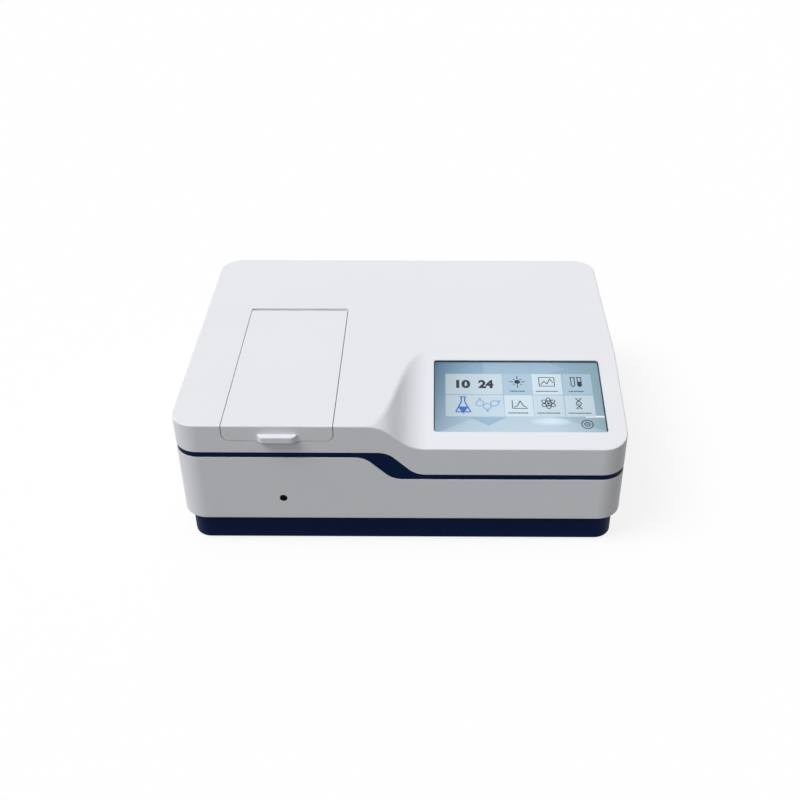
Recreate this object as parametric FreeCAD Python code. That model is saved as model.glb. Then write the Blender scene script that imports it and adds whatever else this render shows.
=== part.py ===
import FreeCAD, Part
import math
import os

V = FreeCAD.Vector

# Scanning spectrophotometer, in millimetres, +Z up.
# The front looks along -Y. Every piece is drawn about the centre of the casing,
# and the whole is then moved so that the origin lies under the middle of its box.

# Casing
WIDTH = 500.0
DEPTH = 384.2
HEIGHT = 167.3
CORNER_RADIUS = 28.0
WALL = 3.0
TOP_EDGE_RADIUS = 1.5
CREASE_RADIUS = 8.0
FRONT = -DEPTH / 2
REAR = DEPTH / 2
LEFT = -WIDTH / 2
RIGHT = WIDTH / 2

# Named clearances, and how far a cut runs past the face that it opens
SEAT_GAP = 0.3
SLIDE_GAP = 0.08
PIN_GAP = 0.05
SCREW_GAP = 0.2
PRESS_GAP = 0.02
OVERCUT = 1.0

# The S step that runs across the front and all the lines that follow it
STEP_DROP = 30.1
TOP_STEP_X = -5.5
TOP_STEP_RADIUS = 43.0
TOP_STEP_STRAIGHT = 12.0
SEAM_RADIUS = 26.0
SEAM_STRAIGHT = 22.0
COVER_SEAM_X = 0.7
COVER_SEAM_Z = HEIGHT - 35.4
BAND_HEIGHT = 7.2
HOUSING_SEAM_X = -24.6
HOUSING_SEAM_Z = COVER_SEAM_Z - BAND_HEIGHT
CONSOLE_SLOPE = math.radians(11.28)
SWEEP_MARGIN = 40.0

# Light beam: its height over the feet, and where the cells and the lamps stand along it
LID_REAR_SETBACK = 133.8
LID_REAR = REAR - LID_REAR_SETBACK
TUB_REAR = LID_REAR - 20.3
BEAM_RISE = 10.7
BEAM_Z = (HEIGHT + BEAM_RISE) / 2
BEAM_Y = TUB_REAR - 68.0
BEAM_HOLE = 5.0
SOURCE_Y = BEAM_Y + 138.0

# Base
FOOT_HEIGHT = 2.0
FOOT_RADIUS = 12.0
FOOT_X = WIDTH / 2 - 45.0
FOOT_Y = DEPTH / 2 - 42.1
FOOT_EDGE = 1.0
SPIGOT_RADIUS = 4.0
BASE_INSET = 7.5
BASE_WALL = 3.5
BASE_RIM_RADIUS = 3.0
TRAY_FLOOR = 3.0
HOUSING_BOTTOM = BEAM_Z - 51.2
HOUSING_EDGE = 1.5
RIM_STEP = 1.8
RIM_RISE = 5.7
BAND_RECESS = 0.7
TONGUE_WALL = 1.8
TONGUE_REACH = 4.0
SEAM_GAP = 0.2

# Screw columns in the four corners, and their long screws
COLUMN_INSET_X = 23.0
COLUMN_INSET_Y = 13.0
COLUMN_RADIUS = 5.0
TRAY_COLUMN_RADIUS = 6.0
COLUMN_SEAT = HOUSING_BOTTOM + 6.2
SCREW_RADIUS = 2.0
SCREW_HEAD_RADIUS = 3.8
SCREW_HEAD = 3.0
SCREW_SINK = 10.0
SCREW_LENGTH = 45.0
SCREW_TIP_ROOM = 2.0

# Sample lid, its tongue and pull tab
LID_LEFT = LEFT + 57.0
LID_RIGHT = TOP_STEP_X - 67.5
LID_X = (LID_LEFT + LID_RIGHT) / 2
LID_GAP = 0.9
LID_REAR_GAP = 1.3
LID_FRONT_LOW = HEIGHT - 19.4
LID_FRONT_RADIUS = 8.0
LID_REAR_RADIUS = 3.5
OPENING_RADIUS = 3.5
TONGUE_LOW = HEIGHT - 23.2
TONGUE_LAP = 1.0
TONGUE_TOP_HALF = 28.0
TONGUE_LOW_HALF = 17.4
HANDLE_OUT = 6.3
HANDLE_TOP = HEIGHT - 11.0
HANDLE_THICK = 8.2
HANDLE_ROOT_HALF = 22.9
HANDLE_TIP_HALF = 17.8
HANDLE_RADIUS = 5.0
HANDLE_EDGE = 1.0
RIB_INSET = 1.2
RIB_THICK = 1.8
RIB_LOW = HEIGHT - 7.3
RIB_SHY = 8.0

# Hinge at the lid's rear edge
BARREL_RADIUS = 5.0
BARREL_HOLLOW = 3.7
BARREL_ROOM = 1.0
PIN_RADIUS = 1.5
PIN_SHY = 2.0
KNUCKLE_RADIUS = 3.0
KNUCKLE_WIDTH = 12.0
KNUCKLE_INSET = 20.0
BRACKET_BACK = 6.0
BRACKET_FRONT = 0.6
HINGE_Y = LID_REAR - BARREL_RADIUS
HINGE_Z = HEIGHT - BARREL_RADIUS

# Cell changer
ROD_X = LID_X + 0.4
ROD_Z = BEAM_Z - 21.4
ROD_RADIUS = 2.5
PORT_RADIUS = 4.4
BUSH_BACK = 4.0
BUSH_COLLAR = 2.1
ROD_SOCKET = 10.0
ROD_SHY = 1.5
ROD_CHAMFER = 0.6
CELL_PITCH = 16.0
CELL_COUNT = 4
CELL_SIZE = 12.6
CELL_SLOT_HALF = 2.0
CELL_SLOT_RISE = 7.0
RACK_WALL = 3.4
RACK_BASE_LOW = ROD_Z - 8.1
RACK_BASE_TOP = ROD_Z + 6.4
RACK_TOP = BEAM_Z + 15.0
GUIDE_RADIUS = 3.0
GUIDE_SPREAD = 15.0

# Optical bench and chassis
CHASSIS_THICK = 1.5
CHASSIS_ROOM = 2.0
BENCH_TOP = BEAM_Z - 43.0
BENCH_THICK = 6.0
BENCH_LOW = BENCH_TOP - BENCH_THICK
BENCH_LEFT = LEFT + 15.0
BENCH_RIGHT = RIGHT - 95.0
BENCH_FRONT = FRONT + 37.1
BENCH_CORNER = 8.0
BENCH_HOLE_ROOM = 1.0
PILLAR_RADIUS = 6.0
PILLAR_INSET = 12.0

# Sample compartment
TUB_LEFT = LID_LEFT + 10.0
TUB_RIGHT = LID_RIGHT - 10.0
TUB_FRONT = FRONT + 20.1
TUB_FLOOR = RACK_BASE_LOW - 3.5
TUB_WALL = 3.0
TUB_CORNER = 1.0
TUB_RIM = HEIGHT - 11.3
TUB_FLANGE = 12.0
FLANGE_CORNER = 8.0
TUB_LEG_RADIUS = 6.0
TUB_LEG_INSET_X = 10.0
TUB_LEG_INSET_Y = 12.0
SEAL_WIDTH = 5.0
SEAL_START = 1.0
SEAL_CORNER = 3.0
LINER_THICK = 2.0
LINER_LAP = 6.5
LINER_REAR_LAP = 6.0
LINER_CORNER = 4.0
TRAP_LOW = HEIGHT - 13.3
TRAP_GAP = 2.0
TRAP_WALL = 1.5
WINDOW_RADIUS = 8.0
WINDOW_THICK = 2.0

# Detector
DETECTOR_X = TUB_LEFT - 21.0
DETECTOR_PLATE = 4.0
DETECTOR_FOOT = 24.0
DETECTOR_HALF = 20.0
DETECTOR_NOSE = 10.0
BOARD_THICK = 1.6
SENSOR_BOARD_GAP = 2.0
SENSOR_BOARD_HALF = 18.0
SENSOR_BOARD_DOWN = 25.0
SENSOR_BOARD_UP = 17.0
SENSOR_CAN = 5.0
SPACER_RADIUS = 2.5
SPACER_INSET = 4.0

# Monochromator
MONO_LEFT = TOP_STEP_X - 49.5
MONO_RIGHT = BENCH_RIGHT - 5.0
MONO_FRONT = BEAM_Y - 25.0
MONO_REAR = SOURCE_Y + 42.0
MONO_TOP = HEIGHT - 41.3
MONO_WALL = 5.0
MONO_CORNER = 9.0
MONO_LID_THICK = 3.0
BENCH_REAR = MONO_REAR + 5.0
BENCH_STEP_X = MONO_LEFT - 5.0
BENCH_STEP_Y = MONO_FRONT - 7.0
SLIT_RADIUS = 10.0
SLIT_THICK = 1.5
SLIT_HALF = 0.5
SLIT_RISE = 4.0
GRATING_X = MONO_LEFT + 60.0
GRATING_Y = BEAM_Y + 75.0
GRATING_SIZE = 30.0
GRATING_THICK = 7.0
HOLDER_THICK = 5.0
SHAFT_RADIUS = 4.0
SHAFT_ROOM = 2.0
BOSS_WIDE = 9.0
TABLE_RADIUS = 18.0
TABLE_THICK = 3.0
MIRROR_X = MONO_RIGHT - 26.0
MIRROR_RADIUS = 20.0
MIRROR_THICK = 8.0
MIRROR_SPREAD = 36.5
MIRROR_CURVE = 300.0
MIRROR_DISH = 2.0
MOUNT_THICK = 6.0
MOUNT_HALF = 14.0
MOUNT_RISE = 12.0
MOUNT_TOE = 10.0
MOUNT_FOOT = 5.0

# Wavelength drive
GEAR_MODULE = 1.0
SECTOR_TEETH = 120
SECTOR_SPAN_TEETH = 25
PINION_TEETH = 20
PRESSURE_ANGLE = math.radians(20.0)
ROOT_DEPTH = 1.25
FLANK_STEPS = 3
GEAR_THICK = 5.0
GEAR_LIFT = 3.0
TOOTH_BACKLASH = 0.16
SECTOR_HUB = 14.0
SECTOR_WINDOW_IN = 22.0
SECTOR_RIM = 9.0
SECTOR_WINDOW_TURN = 50.0
MOTOR_SIZE = 35.0
MOTOR_LENGTH = 26.0
MOTOR_CHAMFER = 3.0
MOTOR_SOCKET = 16.0
MOTOR_SHAFT_RADIUS = 2.5
PINION_PROUD = 2.0

# Lamp house
LAMP_RIGHT = MONO_LEFT - 17.0
LAMP_LEFT = LAMP_RIGHT - 98.0
LAMP_FRONT = SOURCE_Y - 46.0
LAMP_REAR = SOURCE_Y + 46.0
LAMP_TOP = HEIGHT - 37.3
LAMP_WALL = 3.0
LAMP_COVER_THICK = 1.5
LAMP_OFFSET = 29.0
AIR_SLOTS = 8
AIR_PITCH = 9.5
AIR_WIDTH = 4.0
AIR_START = 14.0
AIR_INSET = 12.0
AIR_LOW = 20.0
HALOGEN_SEAT = BEAM_Z - 19.0
HALOGEN_RADIUS = 6.0
HALOGEN_RISE = 13.0
HALOGEN_BASE_X = 9.0
HALOGEN_BASE_Y = 8.0
ARC_SEAT = BEAM_Z - 27.0
ARC_RADIUS = 14.0
ARC_GLASS = 12.5
ARC_HEADROOM = 8.0
BULB_DOME = 0.8
SELECTOR_X = LAMP_RIGHT - 33.0
SELECTOR_HALF = 12.0
SELECTOR_THICK = 3.0
SELECTOR_HUB = 4.0
SELECTOR_MOTOR_TOP = BEAM_Z - 20.0
SELECTOR_MOTOR_RADIUS = 10.0
SELECTOR_SHAFT = 8.0
SELECTOR_SHAFT_OUT = 4.0
VENT_COUNT = 8
VENT_PITCH = 10.0
VENT_WIDTH = 4.0
VENT_LENGTH = 45.0
VENT_START = 12.0

# Filter wheel
WHEEL_X = MONO_LEFT + 13.0
WHEEL_RADIUS = 27.0
WHEEL_THICK = 3.0
WHEEL_SHAFT = 10.0
FILTER_CIRCLE = 19.0
FILTER_RADIUS = 5.0
FILTER_RECESS = 0.5
FILTER_COUNT = 6
FILTER_PHASE = 4.5
WHEEL_MOTOR_RADIUS = 9.0
WHEEL_MOTOR_LONG = 16.0
WHEEL_GAP = 0.5
WHEEL_PLATE = 2.0
WHEEL_FOOT = 14.0

# Light tubes and lens
TUBE_RADIUS = 9.0
TUBE_BORE = 6.0
LENS_CURVE = 16.0
LENS_HALF = 3.0

# Screen: across, and up the slope of the console
SCREEN_LEFT = TOP_STEP_X + 41.2
SCREEN_RIGHT = RIGHT - 21.4
SCREEN_NEAR = 25.6
SCREEN_FAR = 139.5
SCREEN_CORNER = 3.5
SCREEN_LIP = 1.2
GLASS_BORDER = 5.0
GLASS_THICK = 1.8
LCD_BORDER = 4.0
LCD_THICK = 5.5
LCD_CORNER = 1.5
BRACKET_THICK = 1.5
BRACKET_LAP = 5.0
BRACKET_CORNER = 4.0
BRACKET_WINDOW_X = 20.0
BRACKET_WINDOW_S = 18.0
BRACKET_WINDOW_CORNER = 6.0
BOSS_RADIUS = 4.0
BOSS_CLEAR = 1.5
BOSS_CLEAR_RIGHT = 0.5
BOSS_INSET = 1.0

# Rear panel and what it carries
PANEL_RECESS = 6.0
PANEL_THICK = 1.5
PANEL_LIP = 4.0
PANEL_LEFT = LEFT + 50.0
PANEL_STEP_X = MONO_LEFT - 13.0
PANEL_RIGHT = RIGHT - 60.0
PANEL_LOW = HOUSING_BOTTOM + 8.2
PANEL_LOW_TOP = HOUSING_SEAM_Z - STEP_DROP - 6.6
PANEL_HIGH_TOP = HOUSING_SEAM_Z - 6.7
FAN_X = LID_X
FAN_Z = (PANEL_LOW + PANEL_HIGH_TOP) / 2
FAN_SIZE = PANEL_HIGH_TOP - PANEL_LOW - 12.0
FAN_DEPTH = 15.0
FAN_BORE = FAN_SIZE / 2 - 2.0
FAN_CORNER = 0.5
FAN_HUB = 12.0
FAN_STRUT = 3.0
FAN_STRUT_DEEP = 2.0
FAN_BLADES = 7
BLADE_HALF = 7.0
BLADE_BOW = 2.0
BLADE_THICK = 1.2
BLADE_ROOM = 1.2
BLADE_EDGE = 0.6
BLADE_SETBACK = 1.0
GUARD_RINGS = 4
GUARD_FIRST = 8.0
GUARD_PITCH = (FAN_BORE + 1.0 - GUARD_FIRST) / (GUARD_RINGS - 1)
GUARD_WIRE = 1.6
GUARD_ARM = 2.0
GUARD_ARM_THICK = 1.2
GUARD_STAND = 1.0
GUARD_EYE = 3.5
GUARD_INSET = 5.0
SOCKET_Z = (PANEL_LOW + PANEL_LOW_TOP) / 2
INLET_X = PANEL_RIGHT - 70.0
INLET_HALF_X = 13.8
INLET_HALF_Z = 10.2
INLET_DEEP = 18.0
INLET_FLANGE_X = 3.0
INLET_FLANGE_Z = 2.5
INLET_FLANGE_THICK = 2.5
INLET_FLANGE_CORNER = 0.8
INLET_WALL = 1.6
INLET_BACK = 3.0
INLET_CUT_CORNER = 4.0
INLET_PIN_HALF_X = 1.0
INLET_PIN_HALF_Z = 2.0
INLET_PIN_SHY = 2.0
INLET_PINS = ((-7.0, -2.0), (7.0, -2.0), (0.0, 3.0))
SWITCH_X = PANEL_RIGHT - 30.0
SWITCH_HALF_X = 6.6
SWITCH_HALF_Z = 9.8
SWITCH_DEEP = 14.0
SWITCH_BEZEL = 1.5
SWITCH_BEZEL_THICK = 1.8
SWITCH_CAVE = 8.0
ROCKER_HALF_X = 4.6
ROCKER_HALF_Z = 7.6
ROCKER_END_GAP = 0.8
ROCKER_TILT = 10.0
ROCKER_BACK = 3.0
ROCKER_PROUD = 1.5
ROCKER_AXIS = 0.5
TRUNNION_RADIUS = 1.0
PORTS_X = (0.0, 45.0)
PORT_SOCKET_DEEP = 14.0
USB_HALF_X = 6.8
USB_HALF_Z = 3.1
USB_SHELL = 0.5
USB_BACK = 2.0
USB_PROUD = 1.0
USB_TONGUE_INSET = 1.2
USB_TONGUE_LOW = 0.2
USB_TONGUE_TOP = 1.6
SERIAL_HALF_X = 9.0
SERIAL_HALF_Z = 5.0
SERIAL_DEEP = 10.0
SERIAL_FLANGE_X = 15.4
SERIAL_FLANGE_Z = 6.2
SERIAL_FLANGE_THICK = 0.8
SERIAL_FACE_TOP = 8.2
SERIAL_FACE_LOW = 7.0
SERIAL_FACE_HALF = 4.0
SERIAL_FACE_PROUD = 5.0
JACK_POST = 2.4
JACK_POST_X = 12.5

# Main board: its parts as place across and up the board, width, depth and height
BOARD_LEFT = SCREEN_LEFT + 14.3
BOARD_RIGHT = RIGHT - 30.0
BOARD_FRONT = FRONT + 14.1
BOARD_REAR = BENCH_STEP_Y - 6.0
BOARD_Z = FOOT_HEIGHT + TRAY_FLOOR + CHASSIS_THICK + 6.5
STUD_RADIUS = 3.0
STUD_INSET = 6.0
SOLDER = 0.5
CHIP_THICK = 2.0
CONNECTOR_THICK = 9.0
CHIPS = ((0.18, 0.36, 24.0, 24.0, CHIP_THICK), (0.44, 0.41, 20.0, 14.0, CHIP_THICK),
         (0.44, 0.68, 20.0, 10.0, CHIP_THICK), (0.18, 0.73, 16.0, 10.0, CHIP_THICK),
         (0.70, 0.82, 40.0, 8.0, CONNECTOR_THICK), (0.64, 0.11, 50.0, 8.0, CONNECTOR_THICK))
CAPACITOR_COUNT = 4
CAPACITOR_X = 0.68
CAPACITOR_Y = 0.45
CAPACITOR_PITCH = 11.0
CAPACITOR_RADIUS = 4.0
CAPACITOR_TALL = 11.0

# Power supply: a folded bracket, a board on studs, a transformer, a heat sink and cans
PSU_RIGHT = RIGHT - 14.0
PSU_LEFT = PSU_RIGHT - 70.0
PSU_FRONT = BEAM_Y
PSU_REAR = PSU_FRONT + 150.0
PSU_SHEET = 1.5
PSU_SIDE = 34.0
PSU_LIFT = 6.0
PSU_STUD_RADIUS = 2.5
PSU_STUD_INSET = 6.0
PSU_BOARD_INSET = 1.0
PSU_CORE_X = 12.0
PSU_CORE_WIDE = 32.0
PSU_CORE_HALF = 17.0
PSU_CORE_TALL = 24.0
PSU_FIN_X = 50.0
PSU_FIN_THICK = 4.0
PSU_FIN_FRONT = 40.0
PSU_FIN_REAR = 10.0
PSU_FIN_TALL = 26.0
PSU_CAN_COUNT = 3
PSU_CAN_PITCH = 18.0
PSU_CAN_RADIUS = 7.0
PSU_CAN_TALL = 22.0
PSU_CAN_X = 15.0
PSU_CAN_INSET = 22.0
PSU_BULK_RADIUS = 9.0
PSU_BULK_TALL = 20.0
PSU_BULK_X = 18.0


def block(x0, x1, y0, y1, z0, z1):
    return Part.makeBox(x1 - x0, y1 - y0, z1 - z0, V(x0, y0, z0))


def rod(x, y, z, radius, length, way="z"):
    ways = {"x": V(1, 0, 0), "y": V(0, 1, 0), "z": V(0, 0, 1)}
    return Part.makeCylinder(radius, length, V(x, y, z), ways[way])


def fuse_all(shapes):
    return shapes[0].multiFuse(shapes[1:]).removeSplitter()


def rounded_block(x0, x1, y0, y1, z0, z1, radius):
    """A box whose four upright edges are rounded."""
    body = block(x0, x1, y0, y1, z0, z1)
    upright = [e for e in body.Edges if abs(e.tangentAt(e.FirstParameter).z) > 0.9]
    return body.makeFillet(radius, upright)


def plan_block(inset, radius, z0, z1):
    """The casing's rounded outline, drawn in by inset, as a prism."""
    return rounded_block(LEFT + inset, RIGHT - inset, FRONT + inset, REAR - inset, z0, z1, radius)


def ring(outer, inner):
    return outer.cut(inner)


def screw(x, y, z, radius, head_radius, head, length):
    """A pan-head screw that points up, with its head at the bottom."""
    shank = rod(x, y, z + head, radius, length)
    cap = rod(x, y, z, head_radius, head)
    return fuse_all([cap, shank])


def step_edges(x_mid, z_high, drop, radius, straight, offset):
    """Two arcs and a straight that fall from z_high by drop, all drawn in by offset."""
    reach = 4 * radius - drop
    tan_half = (math.sqrt(straight * straight + drop * reach) - straight) / reach
    turn = 2 * math.atan(tan_half)
    half = radius * math.sin(turn) + straight / 2 * math.cos(turn)
    high = radius - offset
    low = radius + offset
    c1 = V(x_mid - half, FRONT, z_high - radius)
    c2 = V(x_mid + half, FRONT, z_high - drop + radius)
    points = []
    for angle in (0.0, turn / 2, turn):
        points.append(c1 + V(high * math.sin(angle), 0, high * math.cos(angle)))
    for angle in (turn, turn / 2, 0.0):
        points.append(c2 - V(low * math.sin(angle), 0, low * math.cos(angle)))
    upper = Part.Arc(points[0], points[1], points[2]).toShape()
    middle = Part.LineSegment(points[2], points[3]).toShape()
    lower = Part.Arc(points[3], points[4], points[5]).toShape()
    return [upper, middle, lower], points[0], points[5]


def step_region(x_mid, z_high, radius, straight, offset, z_close, way, start):
    """Everything between a step and the level z_close, swept along way."""
    edges, first, last = step_edges(x_mid, z_high, STEP_DROP, radius, straight, offset)
    far_left = V(LEFT - SWEEP_MARGIN, FRONT, first.z)
    far_right = V(RIGHT + SWEEP_MARGIN, FRONT, last.z)
    if z_close > z_high:
        far_left = V(first.x, FRONT, first.z)
    close_left = V(far_left.x, FRONT, z_close)
    close_right = V(far_right.x, FRONT, z_close)
    outline = list(edges)
    outline.append(Part.LineSegment(last, far_right).toShape())
    outline.append(Part.LineSegment(far_right, close_right).toShape())
    outline.append(Part.LineSegment(close_right, close_left).toShape())
    outline.append(Part.LineSegment(close_left, far_left).toShape())
    if z_close < z_high:
        outline.append(Part.LineSegment(far_left, first).toShape())
    wire = Part.Wire(Part.__sortEdges__(outline))
    face = Part.Face(wire)
    face.translate(way.normalize() * -start)
    return face.extrude(way.normalize() * (DEPTH + 2 * start + SWEEP_MARGIN))


def below_seam(x_mid, z_high, shift):
    """The space below a parting line of the casing, moved up by shift."""
    level = z_high + shift
    return step_region(x_mid, level, SEAM_RADIUS, SEAM_STRAIGHT, 0.0, -SWEEP_MARGIN,
                       V(0, 1, 0), SWEEP_MARGIN)


def above_console(offset):
    """The space above the step and the sloping console, offset into the casing."""
    way = V(0, math.cos(CONSOLE_SLOPE), math.sin(CONSOLE_SLOPE))
    return step_region(TOP_STEP_X, HEIGHT, TOP_STEP_RADIUS, TOP_STEP_STRAIGHT, offset,
                       HEIGHT + 2 * SWEEP_MARGIN, way, SWEEP_MARGIN)


def console_frame(s, lift):
    """The point on the console at s up the slope and lift above its surface."""
    y = FRONT + s * math.cos(CONSOLE_SLOPE) - lift * math.sin(CONSOLE_SLOPE)
    z = HEIGHT - STEP_DROP + s * math.sin(CONSOLE_SLOPE) + lift * math.cos(CONSOLE_SLOPE)
    return y, z


def console_block(x0, x1, s0, s1, low, high, radius):
    """A block that lies along the console, between two depths under its surface."""
    body = rounded_block(x0, x1, s0, s1, low, high, radius)
    body.rotate(V(0, 0, 0), V(1, 0, 0), math.degrees(CONSOLE_SLOPE))
    y, z = console_frame(0.0, 0.0)
    body.translate(V(0, y, z))
    return body


def front_lap(y0, y1, z_top, grow):
    """The lid's front lap seen from the front: a rounded plate with a narrow tongue."""
    low = LID_FRONT_LOW - grow
    plate = block(LID_LEFT - grow, LID_RIGHT + grow, y0, y1, low, z_top)
    low_edges = []
    for edge in plate.Edges:
        if abs(edge.CenterOfMass.z - low) < 1e-6 and abs(edge.tangentAt(0).y) > 0.9:
            low_edges.append(edge)
    plate = plate.makeFillet(LID_FRONT_RADIUS + grow, low_edges)
    top = LID_FRONT_LOW + TONGUE_LAP
    corners = [V(LID_X - TONGUE_TOP_HALF - grow, y0, top),
               V(LID_X + TONGUE_TOP_HALF + grow, y0, top),
               V(LID_X + TONGUE_LOW_HALF + grow, y0, TONGUE_LOW - grow),
               V(LID_X - TONGUE_LOW_HALF - grow, y0, TONGUE_LOW - grow)]
    tongue = Part.Face(Part.makePolygon(corners + [corners[0]])).extrude(V(0, y1 - y0, 0))
    return plate.fuse(tongue).removeSplitter()


def lid_outline(grow, rear_grow, radius, z0, z1):
    """The lid's outline from above, with rounded rear corners."""
    body = block(LID_LEFT - grow, LID_RIGHT + grow, FRONT - OVERCUT, LID_REAR + rear_grow, z0, z1)
    corners = []
    for edge in body.Edges:
        if abs(edge.tangentAt(0).z) > 0.9 and edge.CenterOfMass.y > 0:
            corners.append(edge)
    return body.makeFillet(radius, corners)


def column_places():
    """Where the four screw columns of the cover meet those of the tray."""
    x = WIDTH / 2 - COLUMN_INSET_X
    y = DEPTH / 2 - COLUMN_INSET_Y
    return [(-x, -y), (x, -y), (x, y), (-x, y)]


def cover_shell():
    """The moulded top: an outline prism, cut by the swept step, then hollowed."""
    outer = plan_block(0.0, CORNER_RADIUS, HOUSING_BOTTOM, HEIGHT)
    outer = outer.cut(above_console(0.0))
    outer = soften_top(outer)
    inner = plan_block(WALL, CORNER_RADIUS - WALL, HOUSING_BOTTOM - OVERCUT, HEIGHT - WALL)
    inner = inner.cut(above_console(WALL / math.cos(CONSOLE_SLOPE)))
    return outer, inner


def soften_top(body):
    """Round the crease of the step, then the whole top edge."""
    crease = []
    for edge in body.Edges:
        middle = edge.valueAt((edge.FirstParameter + edge.LastParameter) / 2)
        box = edge.BoundBox
        on_top = abs(box.ZMin - HEIGHT) < 1e-4
        inside = outline_distance(middle.x, middle.y) > CREASE_RADIUS
        if on_top and inside and middle.y < 0:
            crease.append(edge)
    body = body.makeFillet(CREASE_RADIUS, crease)
    rim = []
    for edge in body.Edges:
        middle = edge.valueAt((edge.FirstParameter + edge.LastParameter) / 2)
        at_wall = outline_distance(middle.x, middle.y) < 1e-3
        upright = edge.BoundBox.ZLength > STEP_DROP + WALL and edge.BoundBox.XLength < WALL
        if at_wall and middle.z > HEIGHT - STEP_DROP - WALL and not upright:
            rim.append(edge)
    return body.makeFillet(TOP_EDGE_RADIUS, rim)


def outline_distance(x, y):
    """How far a point lies inside the casing's rounded outline."""
    dx = abs(x) - (WIDTH / 2 - CORNER_RADIUS)
    dy = abs(y) - (DEPTH / 2 - CORNER_RADIUS)
    if dx > 0 and dy > 0:
        return abs(CORNER_RADIUS - math.hypot(dx, dy))
    return min(WIDTH / 2 - abs(x), DEPTH / 2 - abs(y))


def cover_piece():
    """The white moulded cover, with its lid opening, screen window and screw columns."""
    outer, inner = cover_shell()
    shell = outer.cut(inner).cut(below_seam(COVER_SEAM_X, COVER_SEAM_Z, 0.0))
    columns = []
    for x, y in column_places():
        columns.append(rod(x, y, COLUMN_SEAT, COLUMN_RADIUS, HEIGHT - COLUMN_SEAT).common(outer))
    for x, s in bracket_places():
        y, z = console_frame(s, 0.0)
        boss = rod(0, 0, -bracket_depth(), BOSS_RADIUS, bracket_depth() - WALL / 2)
        boss.rotate(V(0, 0, 0), V(1, 0, 0), math.degrees(CONSOLE_SLOPE))
        boss.translate(V(x, y, z))
        columns.append(boss)
    shell = fuse_all([shell] + columns)
    cuts = [lid_outline(LID_GAP, LID_REAR_GAP, OPENING_RADIUS, HEIGHT - WALL - OVERCUT, HEIGHT + OVERCUT),
            front_lap(FRONT - OVERCUT, FRONT + WALL + OVERCUT, HEIGHT + OVERCUT, LID_GAP),
            console_block(SCREEN_LEFT, SCREEN_RIGHT, SCREEN_NEAR, SCREEN_FAR,
                          -WALL - OVERCUT, WALL, SCREEN_CORNER),
            glass_block(-WALL - OVERCUT, -SCREEN_LIP, SEAT_GAP)]
    for x, y in column_places():
        cuts.append(rod(x, y, COLUMN_SEAT - OVERCUT, SCREW_RADIUS + PIN_GAP,
                        screw_top() - COLUMN_SEAT + OVERCUT + SCREW_TIP_ROOM))
    return shell.cut(cuts)


def screw_top():
    return FOOT_HEIGHT + SCREW_SINK + SCREW_HEAD + SCREW_LENGTH


def band_ring(inset, low_shift, high_shift):
    """A ring just inside the casing's outline, between the two parting lines."""
    last = WALL + SEAT_GAP + TONGUE_WALL
    body = ring(plan_block(inset, CORNER_RADIUS - inset, HOUSING_BOTTOM, HEIGHT),
                plan_block(last, CORNER_RADIUS - last, HOUSING_BOTTOM - OVERCUT, HEIGHT + OVERCUT))
    body = body.common(below_seam(COVER_SEAM_X, COVER_SEAM_Z, high_shift))
    return body.cut(below_seam(HOUSING_SEAM_X, HOUSING_SEAM_Z, low_shift))


def band_piece():
    """The dark band in the parting line, with a tongue behind both casing walls."""
    face = band_ring(BAND_RECESS, SEAM_GAP, -SEAM_GAP)
    tongue = band_ring(WALL + SEAT_GAP, -TONGUE_REACH, TONGUE_REACH)
    return face.fuse(tongue).removeSplitter()


def panel_outline(grow, y0, y1):
    """The stepped outline of the rear panel, tall behind the lamp house."""
    left = PANEL_LEFT - grow
    right = PANEL_RIGHT + grow
    step = PANEL_STEP_X + grow
    low = PANEL_LOW - grow
    corners = [V(left, y0, low), V(right, y0, low), V(right, y0, PANEL_LOW_TOP + grow),
               V(step, y0, PANEL_LOW_TOP + grow), V(step, y0, PANEL_HIGH_TOP + grow),
               V(left, y0, PANEL_HIGH_TOP + grow)]
    return Part.Face(Part.makePolygon(corners + [corners[0]])).extrude(V(0, y1 - y0, 0))


def housing_piece():
    """The white lower housing, with its foot flange, rear frame and rod port."""
    body = plan_block(0.0, CORNER_RADIUS, HOUSING_BOTTOM, HEIGHT)
    bottom = [e for e in body.Edges if e.BoundBox.ZMax < HOUSING_BOTTOM + 1e-6]
    body = body.makeFillet(HOUSING_EDGE, bottom)
    body = body.cut(plan_block(WALL, CORNER_RADIUS - WALL, HOUSING_BOTTOM + WALL, HEIGHT + OVERCUT))
    lip = BASE_INSET + RIM_STEP - SEAT_GAP
    body = body.cut(plan_block(lip, CORNER_RADIUS - lip, HOUSING_BOTTOM - OVERCUT, HEIGHT))
    body = body.common(below_seam(HOUSING_SEAM_X, HOUSING_SEAM_Z, 0.0))
    frame = panel_outline(0.0, REAR - PANEL_RECESS, REAR - WALL)
    body = body.fuse(frame)
    body = body.cut([panel_outline(-PANEL_LIP, REAR - PANEL_RECESS - OVERCUT, REAR + OVERCUT),
                     rod(ROD_X, FRONT - OVERCUT, ROD_Z, PORT_RADIUS, WALL + 2 * OVERCUT, "y")])
    return body.removeSplitter()


def vent_slots(z0, z1):
    """Air slots under the lamp house."""
    slots = []
    for k in range(VENT_COUNT):
        x = LAMP_LEFT + VENT_START + k * VENT_PITCH
        slots.append(block(x, x + VENT_WIDTH, LAMP_FRONT, LAMP_FRONT + VENT_LENGTH, z0, z1))
    return slots


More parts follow.
